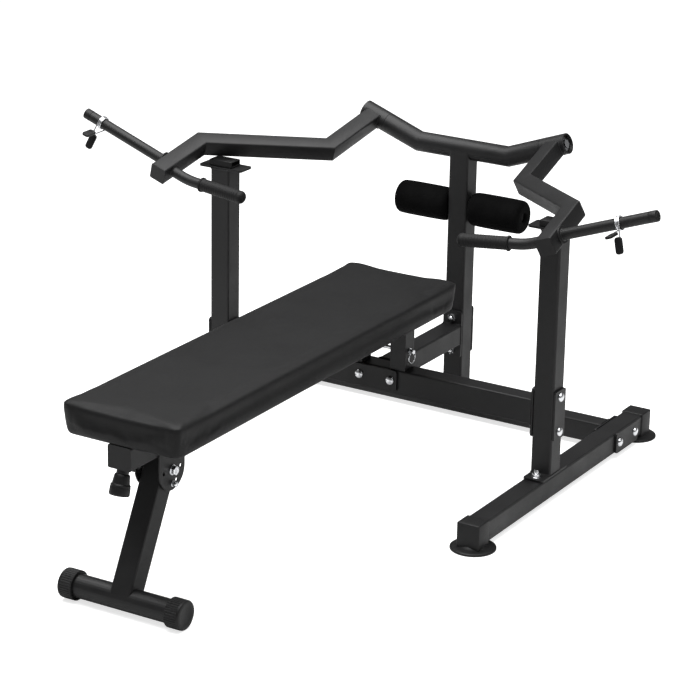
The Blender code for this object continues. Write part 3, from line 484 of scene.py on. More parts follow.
def sew(piece, low, high, sizes):
    """Pull in the welt seam, more at the ends than along the sides, and gather the corners in pleats."""
    level = high.z - sizes.seam_drop
    middle = (low + high) / 2
    for vert in piece.data.vertices:
        spot = vert.co
        gap = spot.z - level
        pull = sizes.seam_depth * max(0.0, 1 - abs(gap) / SEAM_REACH) ** 1.5
        edge_x = min(abs(spot.x - low.x), abs(high.x - spot.x))
        edge_y = min(abs(spot.y - low.y), abs(high.y - spot.y))
        pull *= 0.4 if edge_x < edge_y else 1.0
        out = Vector((spot.x - middle.x, 0, 0)) if edge_x < edge_y else Vector((0, spot.y - middle.y, 0))
        if min(edge_x, edge_y) < 0.020 and out.length:
            if max(edge_x, edge_y) < CORNER_REACH:
                out = Vector([spot[axis] - middle[axis]
                              - (high[axis] - middle[axis] - 0.05) * (1 if spot[axis] > middle[axis] else -1)
                              for axis in (0, 1)] + [0])
                sweep = out.angle(Vector((1 if out.x > 0 else -1, 0, 0)))
                pleat = 0.0007 * max(0.0, cos(sweep * 11)) ** 3
                pull += pleat * max(0.0, 1 - abs(gap + 0.020) / 0.028)
            spot -= out.normalized() * pull


def make_bench_pad(context):
    sizes = context.scene.bench_pad_sizes
    low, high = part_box("bench_pad")
    shape = stuffed_pad(low + Vector((0.002, 0.002, 0.0002)), high - Vector((0.002, 0.002, 0.0030)), sizes)
    piece = make_piece("pad_cover", shape, "charcoal_vinyl", FRAME_BODY, ["bench_pad"])
    inflate(piece, sizes, PAD_MESH, low.z + HELD_STRIP)
    soften = piece.modifiers.new("Even out", "SMOOTH")
    soften.factor = 0.5
    soften.iterations = 1
    bake(piece)
    fill_box(piece, low - BELOW_LOW, high + PAST_HIGH)
    lift_head_end(piece, low, high, HEAD_RISE)
    subdivide = piece.modifiers.new("Finer", "SUBSURF")
    subdivide.levels = 1
    subdivide.render_levels = 1
    bake(piece)
    sew(piece, low, high, sizes)
    piece.data.shade_smooth()


def lift_head_end(piece, low, high, rise):
    """Draw the underside up towards the head end, where the cover is pulled tighter."""
    for vert in piece.data.vertices:
        along = (vert.co.y - low.y) / (high.y - low.y)
        depth = min(1.0, max(0.0, (high.z - vert.co.z) / (high.z - low.z)))
        vert.co.z += rise * along * depth


def fill_box(piece, low, high):
    """Scale a piece's mesh to reach exactly from one corner to the other."""
    spots = [vert.co for vert in piece.data.vertices]
    for axis in range(3):
        start = min(spot[axis] for spot in spots)
        end = max(spot[axis] for spot in spots)
        for spot in spots:
            spot[axis] = low[axis] + (spot[axis] - start) * (high[axis] - low[axis]) / (end - start)


# ------------------------------------------------------------------ foam and rubber
def make_rollers(context):
    hardware = context.scene.bench_hardware
    for side, sign in SIDES.items():
        low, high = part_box(f"foam_roller_{side}")
        middle = (low + high) / 2
        half = (high.x - low.x) / 2 - 0.0006
        radius = (high.z - low.z) / 2 - 0.0004
        bore = 0.0104
        soft = hardware.foam_edge
        body = []
        for step in range(9):
            part = step / 8
            body.append((radius - 0.0008 * (2 * part - 1) ** 4, (half - soft) * (1 - 2 * part)))
        top = rounded(radius - 0.0008, soft, half, 1)[::-1]
        tail = rounded(radius - 0.0008, soft, -half, -1)
        rim = [(bore + 0.0045, half - 0.0002), (bore + 0.0018, half - 0.0012), (bore, half - 0.0040)]
        profile = rim[::-1] + top + body[1:-1] + tail + [(spot, -height) for spot, height in rim]
        shape = turned_shape(profile, 64, closed=True)
        piece = make_piece(f"roller_foam_{side}", moved(shape, aim_matrix(middle, (sign, 0, 0))),
                           "black_foam", f"roller_{side}", [f"foam_roller_{side}"])


HANDLE_Q = 0.530             # handle, forward of the pivot
HANDLE_START = 0.3297        # inner face of the arm, along the pivot axis
HANDLE_RISE = radians(15.5)
BAR = 0.0125


def handle_line():
    """Centre line of a handle bar in its arm's frame, and where its straight run starts."""
    points = [(HANDLE_START, 0.0), (HANDLE_START - 0.022, 0.0)]
    for step in range(1, 13):
        angle = HANDLE_RISE * step / 12
        points.append((HANDLE_START - 0.022 - 0.150 * sin(angle), 0.150 * (1 - cos(angle))))
    return points, points[-1], (-cos(HANDLE_RISE), sin(HANDLE_RISE))


def make_handles(context):
    hardware = context.scene.bench_hardware
    points, bend, along = handle_line()
    length = 0.122
    reach = 0.132
    for side, sign in SIDES.items():
        place = arm_place(sign)
        line = points + [(bend[0] + along[0] * reach, bend[1] + along[1] * reach)]
        bar = wire_shape([(sign * s, -HANDLE_Q, n) for s, n in line], BAR, sides=10)
        collar = moved(weld_bead(BAR, 0.0022), aim_matrix((sign * HANDLE_START, -HANDLE_Q, 0), (-sign, 0, 0)))
        make_piece(f"handle_tube_{side}", moved(gather([bar, collar]), place), "black_powder_coat",
                   f"arm_{side}", [f"handle_bar_{side}"])
        start = Vector((sign * (bend[0] + along[0] * 0.018), -HANDLE_Q, bend[1] + along[1] * 0.018))
        profile = [(0.0127, 0.0002), (0.0166, 0.0002), (0.0172, 0.0010), (0.0172, 0.0034), (0.0166, 0.0042),
                   (0.0150, 0.0050)]
        count = max(1, hardware.grip_rings)
        first, last = 0.0100, length - 0.0150
        for step in range(count):
            low = first + (last - first) * step / count
            high = first + (last - first) * (step + 1) / count
            quarter = (high - low) / 4
            deep = 0.0150 - hardware.grip_groove
            profile += [(0.0150, low), (0.0150, low + 2 * quarter),
                        (deep, low + 2.6 * quarter), (deep, high - 0.4 * quarter)]
        profile += [(0.0150, last), (0.0150, length - 0.0100)]
        profile += [(0.0150 - 0.0100 * (1 - cos(angle)), length - 0.0100 + 0.0098 * sin(angle))
                    for angle in (pi * step / 16 for step in range(1, 8))]
        profile += [(0.0034, length - 0.0002), (0.0030, length - 0.0022), (0, length - 0.0024)]
        grip = turned_shape(profile, 48)
        aim = Vector((sign * along[0], 0, along[1]))
        piece = make_piece(f"grip_sleeve_{side}", moved(grip, place @ aim_matrix(start, aim)),
                           "black_rubber", f"arm_{side}", [f"hand_grip_{side}"])


def weld_bead(radius, size):
    """A fillet of weld round a bar that stands up from a face."""
    profile = [(radius - 0.0004, 0.0), (radius + size, 0.0), (radius + size * 0.72, size * 0.34),
               (radius + size * 0.34, size * 0.72), (radius, size), (radius - 0.0004, size)]
    return turned_shape(profile, 48, closed=True)


# ------------------------------------------------------------------ lever arms
ARM_S = 0.1305
ARM_REACH = 0.191
ARM_OUT = 0.2195
ARM_FORWARD = 0.212
ARM_END = 0.563
ARM_TUBE = 0.040
ARM_WALL = 0.0022
END_PLUG_DEPTH = 0.020
SLEEVE = (0.0953, 0.1615)
SLEEVE_RADIUS = 0.0245
SLEEVE_BORE = 0.0205


def arm_outline(sign):
    """Corners of the zigzag tube in the arm's own plane, mitred at both elbows."""
    knots = [Vector((ARM_S, 0.0)), Vector((ARM_S, ARM_REACH)),
             Vector((ARM_S + ARM_OUT, ARM_REACH + ARM_FORWARD)), Vector((ARM_S + ARM_OUT, ARM_END))]
    slant = (knots[2] - knots[1]).normalized()
    ahead = Vector((0, 1))
    mitre = (ahead + slant).normalized()
    half = ARM_TUBE / 2
    across = Vector((mitre.y, -mitre.x)) * (half / mitre.dot(ahead))
    shift = [Vector((half, 0)), across, across, Vector((half, 0))]
    outer = [knot + step for knot, step in zip(knots, shift)]
    inner = [knot - step for knot, step in zip(knots, shift)]
    return [(sign * point.x, -point.y) for point in outer + inner[::-1]]


def zigzag_tube(sign, edge):
    """The arm's square tube, open at its far end."""
    shape = bmesh.new()
    corners = [shape.verts.new((x, y, -ARM_TUBE / 2)) for x, y in arm_outline(sign)]
    face = shape.faces.new(corners)
    grown = bmesh.ops.extrude_face_region(shape, geom=[face])
    top = [item for item in grown["geom"] if isinstance(item, bmesh.types.BMVert)]
    bmesh.ops.translate(shape, vec=(0, 0, ARM_TUBE), verts=top)
    bmesh.ops.recalc_face_normals(shape, faces=shape.faces)
    long_ones = []
    for item in shape.edges:
        run = (item.verts[0].co - item.verts[1].co).normalized()
        ends = all(vert.co.y < -ARM_END + 0.001 or vert.co.y > -0.001 for vert in item.verts)
        if abs(run.z) < 0.5 and not ends:
            long_ones.append(item)
    bmesh.ops.bevel(shape, geom=long_ones, offset=edge, affect="EDGES", segments=3, profile=0.5, material=-1)
    end = [item for item in shape.faces
           if item.normal.y < -0.9 and item.calc_center_median().y < -ARM_END + 0.001]
    sink_faces(shape, end, ARM_WALL, (0, END_PLUG_DEPTH, 0))
    return shape


def make_arms(context):
    paint = context.scene.bench_finish
    for side, sign in SIDES.items():
        place = arm_place(sign)
        out = (sign, 0, 0)
        piece = make_piece(f"arm_tube_{side}", moved(zigzag_tube(sign, paint.arm_edge), place),
                           "black_powder_coat", f"arm_{side}", [f"lever_arm_{side}"], 30)
        bore = aim_matrix((sign * ARM_S, 0, 0), out)
        width = SLEEVE_RADIUS - 0.001
        cutter = turned_shape([(0, 0.03), (width, 0.03), (width, -0.03), (0, -0.03)])
        cut_out(piece, moved(cutter, place @ bore))
        start, end = SLEEVE
        sleeve = turned_shape([(SLEEVE_BORE, end), (SLEEVE_RADIUS - 0.0008, end),
                               (SLEEVE_RADIUS, end - 0.0008), (SLEEVE_RADIUS, start + 0.0008),
                               (SLEEVE_RADIUS - 0.0008, start), (SLEEVE_BORE, start)], 64, closed=True)
        beads = [weld_loop(sign * (ARM_S + step * ARM_TUBE / 2), step * sign) for step in (-1, 1)]
        whole = gather([moved(sleeve, aim_matrix((0, 0, 0), out))] + beads)
        make_piece(f"arm_sleeve_{side}", moved(whole, place), "black_powder_coat", f"arm_{side}")


def weld_loop(along, facing):
    """Bead of weld where a side of the arm tube meets its sleeve."""
    reach = SLEEVE_RADIUS + 0.0002
    line = [(along + facing * 0.0002, -reach * cos(angle), reach * sin(angle))
            for angle in (radians(-52 + 104 * step / 26) for step in range(27))]
    return wire_shape(line, 0.0016, sides=3)


def cut_out(piece, shape):
    """Cut a shape out of a piece."""
    mesh = bpy.data.meshes.new("cutter")
    shape.to_mesh(mesh)
    shape.free()
    cutter = bpy.data.objects.new("cutter", mesh)
    bpy.context.scene.collection.objects.link(cutter)
    step = piece.modifiers.new("Cut", "BOOLEAN")
    step.object = cutter
    step.operation = "DIFFERENCE"
    step.solver = "EXACT"
    material = piece.data.materials[0]
    bake(piece)
    bpy.data.objects.remove(cutter, do_unlink=True)
    piece.data.materials.clear()
    piece.data.materials.append(material)
    piece.data.shade_smooth()
    piece.data.set_sharp_from_angle(angle=radians(30))


def make_pegs():
    start = ARM_S + ARM_OUT + ARM_TUBE / 2 + GAP
    end = 0.604
    for side, sign in SIDES.items():
        place = arm_place(sign) @ aim_matrix((0, -0.516, 0), (sign, 0, 0))
        peg = turned_shape([(0, end - 0.004), (BAR - 0.003, end - 0.004), (BAR - 0.003, end - 0.018),
                            (BAR - 0.0006, end - 0.018), (BAR, end - 0.0186), (BAR, start + 0.0062),
                            (BAR + 0.0018, start + 0.0044), (0.0195, start + 0.0040),
                            (0.0205, start + 0.0030),
                            (0.0205, start + 0.0004), (0.0201, start), (0, start)], 48)
        make_piece(f"peg_bar_{side}", moved(peg, place), "black_powder_coat",
                   f"arm_{side}", [f"weight_peg_{side}"])
        cap = turned_shape([(0, end - 0.0012), (0.0062, end - 0.0010), (0.0074, end - 0.0002), (0.0108, end),
                            (0.0122, end - 0.0008), (0.0127, end - 0.0022), (0.0127, end - 0.0164),
                            (0.0123, end - 0.0176), (BAR - 0.0027, end - 0.0176),
                            (BAR - 0.0027, end - 0.0030),
                            (0, end - 0.0030)], 48)
        make_piece(f"peg_plug_{side}", moved(cap, place), "black_plastic",
                   f"arm_{side}", [f"peg_cap_{side}"])


# ------------------------------------------------------------------ bolts and pins
POST_X = 0.432
POST_Y = 0.262
FLANGE_NUT_REACH = 0.0435
PLATE_BOLT_REACH = 0.041


def hex_head(radius, low, high, washer=0.0, recess=0.0):
    """A chamfered hexagon head, with a washer under it."""
    shape = bmesh.new()
    bmesh.ops.create_cone(shape, cap_ends=True, segments=6, radius1=radius, radius2=radius, depth=high - low)
    bmesh.ops.translate(shape, vec=(0, 0, (high + low) / 2), verts=shape.verts)
    rim = [edge for edge in shape.edges if all(vert.co.z > high - 0.00001 for vert in edge.verts)]
    bmesh.ops.bevel(shape, geom=rim, offset=radius * 0.10, affect="EDGES", segments=2, profile=0.5,
                    material=-1)
    parts = [shape]
    if recess:
        top = [face for face in shape.faces if face.normal.z > 0.99]
        sink_faces(shape, top, radius * 0.28, (0, 0, -recess))
    if washer:
        parts.append(turned_shape([(0, low + 0.0003), (washer - 0.0004, low + 0.0003), (washer, low - 0.0002),
                                   (washer, low - 0.0016), (0, low - 0.0016)], 32))
    return gather(parts)


def domed_head(radius, crown):
    """A round bolt head that stands on its plate."""
    profile = [(0, crown)]
    for step in range(1, 9):
        angle = pi / 2 * step / 8
        profile.append((radius * sin(angle) * 0.985, 0.0014 + (crown - 0.0014) * cos(angle)))
    profile += [(radius, 0.0010), (radius, -0.0002), (0, -0.0002)]
    return turned_shape(profile, 36)


def plate_bolts(node, axis, sign, spread_axis, hardware):
    """Covers for the two domed heads and the two nuts of a joint plate."""
    low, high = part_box(node)
    middle = (low + high) / 2
    crown = hardware.bolt_crown
    head_top = high[axis] if sign > 0 else low[axis]
    nut_end = low[axis] if sign > 0 else high[axis]
    aim = Vector((0, 0, 0))
    aim[axis] = sign
    shapes = []
    for step in (-1, 1):
        spot = middle.copy()
        spot[spread_axis] += step * PLATE_BOLT_REACH
        seat = spot.copy()
        seat[axis] = head_top - sign * 0.0065
        shapes.append(moved(domed_head(0.0102 + COVER, crown), aim_matrix(seat, aim)))
        tail = spot.copy()
        tail[axis] = nut_end + sign * (0.0105 + COVER)
        shapes.append(moved(lock_nut(0.0085), aim_matrix(tail, -aim)))
    return shapes


def lock_nut(reach):
    """A hexagon nut with its collar and the bolt's tip."""
    nut = hex_head(reach * 1.17, 0.0001, 0.0074)
    collar = turned_shape([(0, 0.0112), (0.0036, 0.0110), (0.0053, 0.0092), (0.0053, 0.0086),
                           (0.0070, 0.0082),
                           (0.0076, 0.0072), (0, 0.0072)], 28)
    return gather([nut, collar])


def make_frame_bolts(context):
    hardware = context.scene.bench_hardware
    shapes = []
    for side, sign in SIDES.items():
        shapes += plate_bolts(f"rear_joint_plate_{side}", 0, sign, 1, hardware)
        shapes += plate_bolts(f"post_joint_plate_{side}", 0, sign, 2, hardware)
        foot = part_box(f"side_post_{side}")[0].z
        for step in (-1, 1):
            spot = Vector((sign * POST_X, POST_Y + step * FLANGE_NUT_REACH, foot + 0.005))
            shapes.append(moved(flange_nut(), aim_matrix(spot, (0, 0, 1))))
    shapes += plate_bolts("spine_joint_plate", 1, -1, 0, hardware)
    shapes += plate_bolts("mast_joint_plate", 1, 1, 2, hardware)
    make_piece("joint_bolts", gather(shapes), "zinc_plate", FRAME_BODY)


def flange_nut():
    """Washer, hexagon nut and bolt tip on a post's base flange."""
    washer = turned_shape([(0, 0.0014), (0.0105, 0.0014), (0.0110, 0.0009), (0.0110, 0.0001),
                           (0, 0.0001)], 32)
    nut = hex_head(0.0098, 0.0012, 0.0092)
    tip = turned_shape([(0, 0.0166), (0.0042, 0.0164), (0.0053, 0.0150), (0.0053, 0.0080), (0, 0.0080)], 28)
    return gather([washer, nut, tip])


def make_pivot_hardware():
    for side, sign in SIDES.items():
        place = arm_place(sign) @ aim_matrix((0, 0, 0), (sign, 0, 0))
        seat = 0.1503
        washer = turned_shape([(0, seat + 0.0022), (0.0172, seat + 0.0022), (0.0180, seat + 0.0015),
                               (0.0180, seat + 0.0002), (0, seat + 0.0002)], 48)
        head = hex_head(0.0108, seat + 0.0022, seat + 0.0092, recess=0.0006)
        make_piece(f"arm_bolt_{side}", moved(gather([washer, head]), place), "zinc_plate",
                   FRAME_BODY, [f"pivot_bolt_{side}"])


def make_leg_pins():
    low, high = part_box("leg_pivot_bolt")
    middle = (low + high) / 2
    face = high.x - 0.0110
    head = hex_head(0.0100, face + 0.0020, high.x - 0.0002, washer=0.0115, recess=0.0005)
    reach = face + 0.001
    shank = turned_shape([(0, reach), (0.006, reach), (0.006, -reach), (0, -reach)], 32)
    nut = moved(lock_nut(0.0085), aim_matrix((0, 0, -face - 0.0001), (0, 0, -1)))
    bmesh.ops.scale(nut, vec=(1, 1, 0.80), verts=nut.verts, space=Matrix.Translation((0, 0, face)))
    place = aim_matrix((0, middle.y, middle.z), (1, 0, 0))
    make_piece("leg_hinge_bolt", moved(gather([head, shank, nut]), place), "zinc_plate", FRAME_BODY,
               ["leg_pivot_bolt"])
    low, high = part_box("leg_lock_pin")
    middle = (low + high) / 2
    face = high.x - 0.0130
    pin = turned_shape([(0, face + 0.0128), (0.0030, face + 0.0126), (0.0058, face + 0.0112),
                        (0.0066, face + 0.0094), (0.0062, face + 0.0060), (0.0050, face + 0.0046),
                        (0.0052, face + 0.0026), (0.0068, face + 0.0020), (0.0070, face + 0.0003),
                        (0.0040, face + 0.0002), (0.0040, low.x + 0.0004), (0.0034, low.x), (0, low.x)], 36)
    make_piece("leg_lock_plunger", moved(pin, aim_matrix((0, middle.y, middle.z), (1, 0, 0))),
               "zinc_plate", "lock_pin", ["leg_lock_pin"])
    low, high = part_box("hitch_ring")
    middle = (low + high) / 2
    wire = (high.x - low.x) / 2
    loop = (high.y - low.y) / 2 - wire
    line = [(middle.x, middle.y + loop * sin(angle), middle.z + loop * cos(angle))
            for angle in (2 * pi * step / 56 for step in range(56))]
    make_piece("saddle_pin_ring", wire_shape(line, wire, closed=True, sides=6), "zinc_plate",
               "hitch_ring", ["hitch_ring"])


CLIP_S = {-1: 0.553, 1: 0.512}
CLIP_WIRE = 0.0016
CLIP_PITCH = 0.0036
CLIP_LEG = 0.034
CLIP_GRIP = (0.018, 0.037, 0.006)
CLIP_COIL = (BAR + 0.0004 + CLIP_WIRE) / cos(pi / 16)


def clip_spot(angle, along):
    return Vector((along, -CLIP_COIL * cos(angle), -CLIP_COIL * sin(angle)))


def clip_leg_and_grip(start, aim, coil_line):
    """Spring wire from the coil into a grip, and the grip's moulding."""
    reach = CLIP_LEG + 0.004
    line = list(coil_line) + [start + aim * reach]
    middle = start + aim * (CLIP_LEG + CLIP_GRIP[1] / 2 - 0.004)
    middle.x = 0
    across = Vector((1, 0, 0))
    turn = Matrix((across, aim, across.cross(aim))).transposed().to_4x4()
    grip = block_shape(CLIP_GRIP, (0, 0, 0), 0.0066, 5, 2)
    rims = [edge for edge in grip.edges if abs(edge.verts[0].co.z - edge.verts[1].co.z) < 0.0001]
    bmesh.ops.bevel(grip, geom=rims, offset=0.0017, affect="EDGES", segments=3, profile=0.5, material=-1)
    top = [face for face in grip.faces if face.normal.z > 0.99 and face.calc_area() > 0.00015]
    sink_faces(grip, top, 0.0026, (0, 0, -0.0007))
    return wire_shape(line, CLIP_WIRE, sides=5), moved(grip, Matrix.Translation(middle) @ turn)


def make_clips():
    first = radians(76)
    last = radians(328) + 4 * pi
    width = CLIP_PITCH * (last - first) / (2 * pi)
    for side, sign in SIDES.items():
        place = arm_place(sign) @ Matrix.Translation((sign * CLIP_S[sign], -0.516, 0))
        steps = 90
        coil = [clip_spot(first + (last - first) * step / steps, sign * width * (step / steps - 0.5))
                for step in range(steps + 1)]
        aim = Vector((0, sin(last), -cos(last)))
        wire, grip = clip_leg_and_grip(coil[-1].copy(), aim, coil)
        make_piece(f"clip_spring_{side}", moved(wire, place), "zinc_plate",
                   f"clip_{side}", [f"spring_clip_{side}"])
        make_piece(f"clip_grip_{side}", moved(grip, place), "black_plastic", f"clip_{side}")
        beside = -sign * (width / 2 + 2 * CLIP_WIRE + 3 * GAP)
        hook = [clip_spot(first + radians(90 - 7.5 * step), beside) for step in range(13)]
        aim = -Vector((0, sin(first), -cos(first)))
        wire, grip = clip_leg_and_grip(hook[-1].copy(), aim, hook)
        make_piece(f"clip_lever_wire_{side}", moved(wire, place), "zinc_plate",
                   f"clip_lever_{side}", [f"clip_lever_{side}"])
        make_piece(f"clip_lever_grip_{side}", moved(grip, place), "black_plastic", f"clip_lever_{side}")


# ------------------------------------------------------------------ caps, knob and bumpers
KNOB_TOP = Vector((0, -0.7525, 0.3187))


def make_foot_caps(context):
    hardware = context.scene.bench_hardware
    for side, sign in SIDES.items():
        low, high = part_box(f"leg_foot_cap_{side}")
        middle = (low + high) / 2
        length = high.x - low.x
        radius = (high.z - low.z) / 2
        ribs = hardware.foot_ribs
        shape = bmesh.new()
        bmesh.ops.create_cone(shape, cap_ends=True, segments=ribs * 4, radius1=radius - 0.0010,
                              radius2=radius - 0.0010, depth=length - 0.0060)
        bmesh.ops.translate(shape, vec=(0, 0, -0.0022), verts=shape.verts)
        for vert in shape.verts:
            angle = round(Vector((vert.co.x, vert.co.y)).angle_signed(Vector((1, 0))) / (2 * pi) * ribs * 4)
            if angle % 4 in (0, 1):
                vert.co.x *= radius / (radius - 0.0010)
                vert.co.y *= radius / (radius - 0.0010)
        face = turned_shape([(0, length / 2 - 0.0012), (radius * 0.60, length / 2 - 0.0010),
                             (radius * 0.66, length / 2), (radius - 0.0035, length / 2),
                             (radius - 0.0014, length / 2 - 0.0009), (radius - 0.0003, length / 2 - 0.0028),
                             (radius - 0.0003, length / 2 - 0.0056), (0, length / 2 - 0.0056)], 96)
        heel = turned_shape([(0, -length / 2 + 0.0034), (radius - 0.0008, -length / 2 + 0.0034),
                             (radius - 0.0004, -length / 2 + 0.0024), (radius - 0.0012, -length / 2 + 0.0006),
                             (radius - 0.0030, -length / 2), (0.0258, -length / 2),
                             (0.0258, -length / 2 + 0.002),
                             (0, -length / 2 + 0.002)], 96)
        whole = moved(gather([shape, face, heel]), aim_matrix(middle, (sign, 0, 0)))
        make_piece(f"foot_sleeve_{side}", whole, "black_plastic", "front_leg", [f"leg_foot_cap_{side}"])


def make_knob():
    axis = Vector(JOINTS["knob_pull"]["axis"])
    profile = [(0, 0.0040), (0.0050, 0.0040), (0.0050, 0.0123), (0.0140, 0.0126), (0.0150, 0.0134),
               (0.0160, 0.0152), (0.0167, 0.0200), (0.0174, 0.0250), (0.0181, 0.0300), (0.0182, 0.0322),
               (0.0196, 0.0336), (0.0207, 0.0350), (0.0209, 0.0362), (0.0205, 0.0372), (0.0206, 0.0384),
               (0.0211, 0.0396), (0.0215, 0.0530), (0.0209, 0.0552), (0.0196, 0.0566), (0.0180, 0.0570),
               (0.0160, 0.0566), (0, 0.0560)]
    make_piece("plunger_knob", moved(turned_shape(profile, 60), aim_matrix(KNOB_TOP, axis)),
               "black_plastic", "pull_knob", ["pull_knob"], 32)


def make_bumpers():
    for side in SIDES:
        low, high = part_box(f"arm_bumper_{side}")
        size = high - low - Vector((0.0002, 0.0002, 0.0002))
        shape = block_shape(size, (low + high) / 2, 0.0022, 3)
        for facing in (-1, 1):
            ends = [face for face in shape.faces
                    if face.normal.x * facing > 0.99 and face.calc_area() > 0.0002]
            sink_faces(shape, ends, 0.0024, (-facing * 0.014, 0, 0))
        make_piece(f"bumper_block_{side}", shape, "black_rubber", FRAME_BODY, [f"arm_bumper_{side}"])


def rail_cap(face, turn, sign):
    """Cap over a rail's end, with its flared foot and the fillet between them."""
    place = Matrix.Translation((sign * POST_X, face, 0)) @ Matrix.Rotation(turn, 4, "Z")
    low, high = 0.0075, 0.0645
    cover = block_shape((0.055, 0.048, high - low), (0, 0.024, (high + low) / 2), 0.0032, 3, 2)
    rims = [edge for edge in cover.edges if all(vert.co.z > high - 0.0001 for vert in edge.verts)]
    bmesh.ops.bevel(cover, geom=rims, offset=0.0028, affect="EDGES", segments=3, profile=0.5, material=-1)
    foot = turned_shape([(0, 0.0120), (0.0268, 0.0118), (0.0285, 0.0100), (0.0310, 0.0084), (0.0360, 0.0070),
                         (0.0440, 0.0060), (0.0492, 0.0052), (0.0506, 0.0042), (0.0510, 0.0030),
                         (0.0510, 0.0006), (0.0504, 0.0), (0, 0.0)], 72)
    bmesh.ops.translate(foot, vec=(0, 0.027, 0), verts=foot.verts)
    return moved(gather([cover, foot]), place)


def make_rail_caps():
    for end, turn in (("front", 0), ("rear", pi)):
        for side, sign in SIDES.items():
            face = -0.098 if end == "front" else 0.760
            make_piece(f"rail_shoe_{end}_{side}", rail_cap(face, turn, sign), "black_plastic",
                       FRAME_BODY, [f"foot_cap_{end}_{side}"])


# ------------------------------------------------------------------ frame
def make_yoke():
    pivots = [Vector(JOINTS[f"arm_swing_{side}"]["pos_m"]) for side in SIDES]
    rise = Vector((cos(TILT), 0, sin(TILT)))
    lean = Vector((-cos(TILT), 0, sin(TILT)))
    line = [pivots[0] + lean * 0.095, pivots[0], pivots[1], pivots[1] + rise * 0.095]
    shapes = [wire_shape(line, 0.0245, sides=14)]
    for pivot, aim in zip(pivots, (lean, rise)):
        stub = turned_shape([(0, 0.150), (0.0155, 0.150), (0.0160, 0.1495), (0.0160, 0.085),
                             (0, 0.085)], 48)
        shapes.append(moved(stub, aim_matrix(pivot, aim)))
    make_piece("yoke_tube", gather(shapes), "black_powder_coat", FRAME_BODY, ["yoke"], 30)


def loop_bead(centre, half, axis, size):
    """A weld bead round a square tube where it meets a plate."""
    corner = 0.004
    line = []
    for x, y, start in ((1, 1, 0), (-1, 1, 90), (-1, -1, 180), (1, -1, 270)):
        for step in range(5):
            angle = radians(start + 22.5 * step)
            line.append((x * (half[0] - corner) + corner * cos(angle),
                         y * (half[1] - corner) + corner * sin(angle)))
    spots = []
    for first, second in line:
        spot = Vector(centre)
        others = [index for index in range(3) if index != axis]
        spot[others[0]] += first
        spot[others[1]] += second
        spots.append(spot)
    return wire_shape(spots, size, closed=True, sides=2)


def make_welds():
    half = (0.0252, 0.0252)
    shapes = []
    for side, sign in SIDES.items():
        post_low, post_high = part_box(f"side_post_{side}")
        for level in (post_low.z + 0.0056, post_high.z - 0.0056):
            shapes.append(loop_bead((sign * POST_X, POST_Y, level), half, 2, 0.0016))
        shapes.append(loop_bead((sign * 0.4010, POST_Y, 0.2087), (0.0252, 0.0302), 0, 0.0015))
        shapes.append(loop_bead((sign * 0.4010, 0.627, 0.037), half, 0, 0.0015))
    for along in (0.2930, 0.5960):
        shapes.append(loop_bead((0, along, 0.2137), half, 1, 0.0015))
    make_piece("weld_beads", gather(shapes), "black_powder_coat", FRAME_BODY)


def paint_frame(context):
    """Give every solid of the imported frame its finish."""
    store = finishes(context.scene)
    slots = {part["node"]: part["material_slot"] for part in frame["record"]["subparts"]}
    for name, node in frame["nodes"].items():
        finish = store[SLOT_FINISH[slots[name]]]
        node.data.materials.clear()
        node.data.materials.append(finish)


# ------------------------------------------------------------------ stage
def area_light(name, spot, target, size, power):
    light = bpy.data.lights.new(name, "AREA")
    light.shape = "RECTANGLE"
    light.size = size[0]
    light.size_y = size[1]
    light.energy = power
    lamp = bpy.data.objects.new(name, light)
    lamp.location = spot
    aim = Vector(target) - Vector(spot)
    lamp.rotation_euler = aim.to_track_quat("-Z", "Y").to_euler()
    bpy.context.scene.collection.objects.link(lamp)


def light_room(world):
    """White walls to look at, with only a soft share of their light falling on the bench."""
    nodes = world.node_tree.nodes
    links = world.node_tree.links
    soft = nodes["Background"]
    soft.inputs["Color"].default_value = (1.0, 1.0, 1.0, 1)
    soft.inputs["Strength"].default_value = 0.17
    wall = nodes.new("ShaderNodeBackground")
    wall.inputs["Color"].default_value = (1.0, 1.0, 1.0, 1)
    wall.inputs["Strength"].default_value = 1.05
    seen = nodes.new("ShaderNodeLightPath")
    pick = nodes.new("ShaderNodeMixShader")
    links.new(seen.outputs["Is Camera Ray"], pick.inputs["Fac"])
    links.new(soft.outputs["Background"], pick.inputs[1])
    links.new(wall.outputs["Background"], pick.inputs[2])
    links.new(pick.outputs["Shader"], nodes["World Output"].inputs["Surface"])


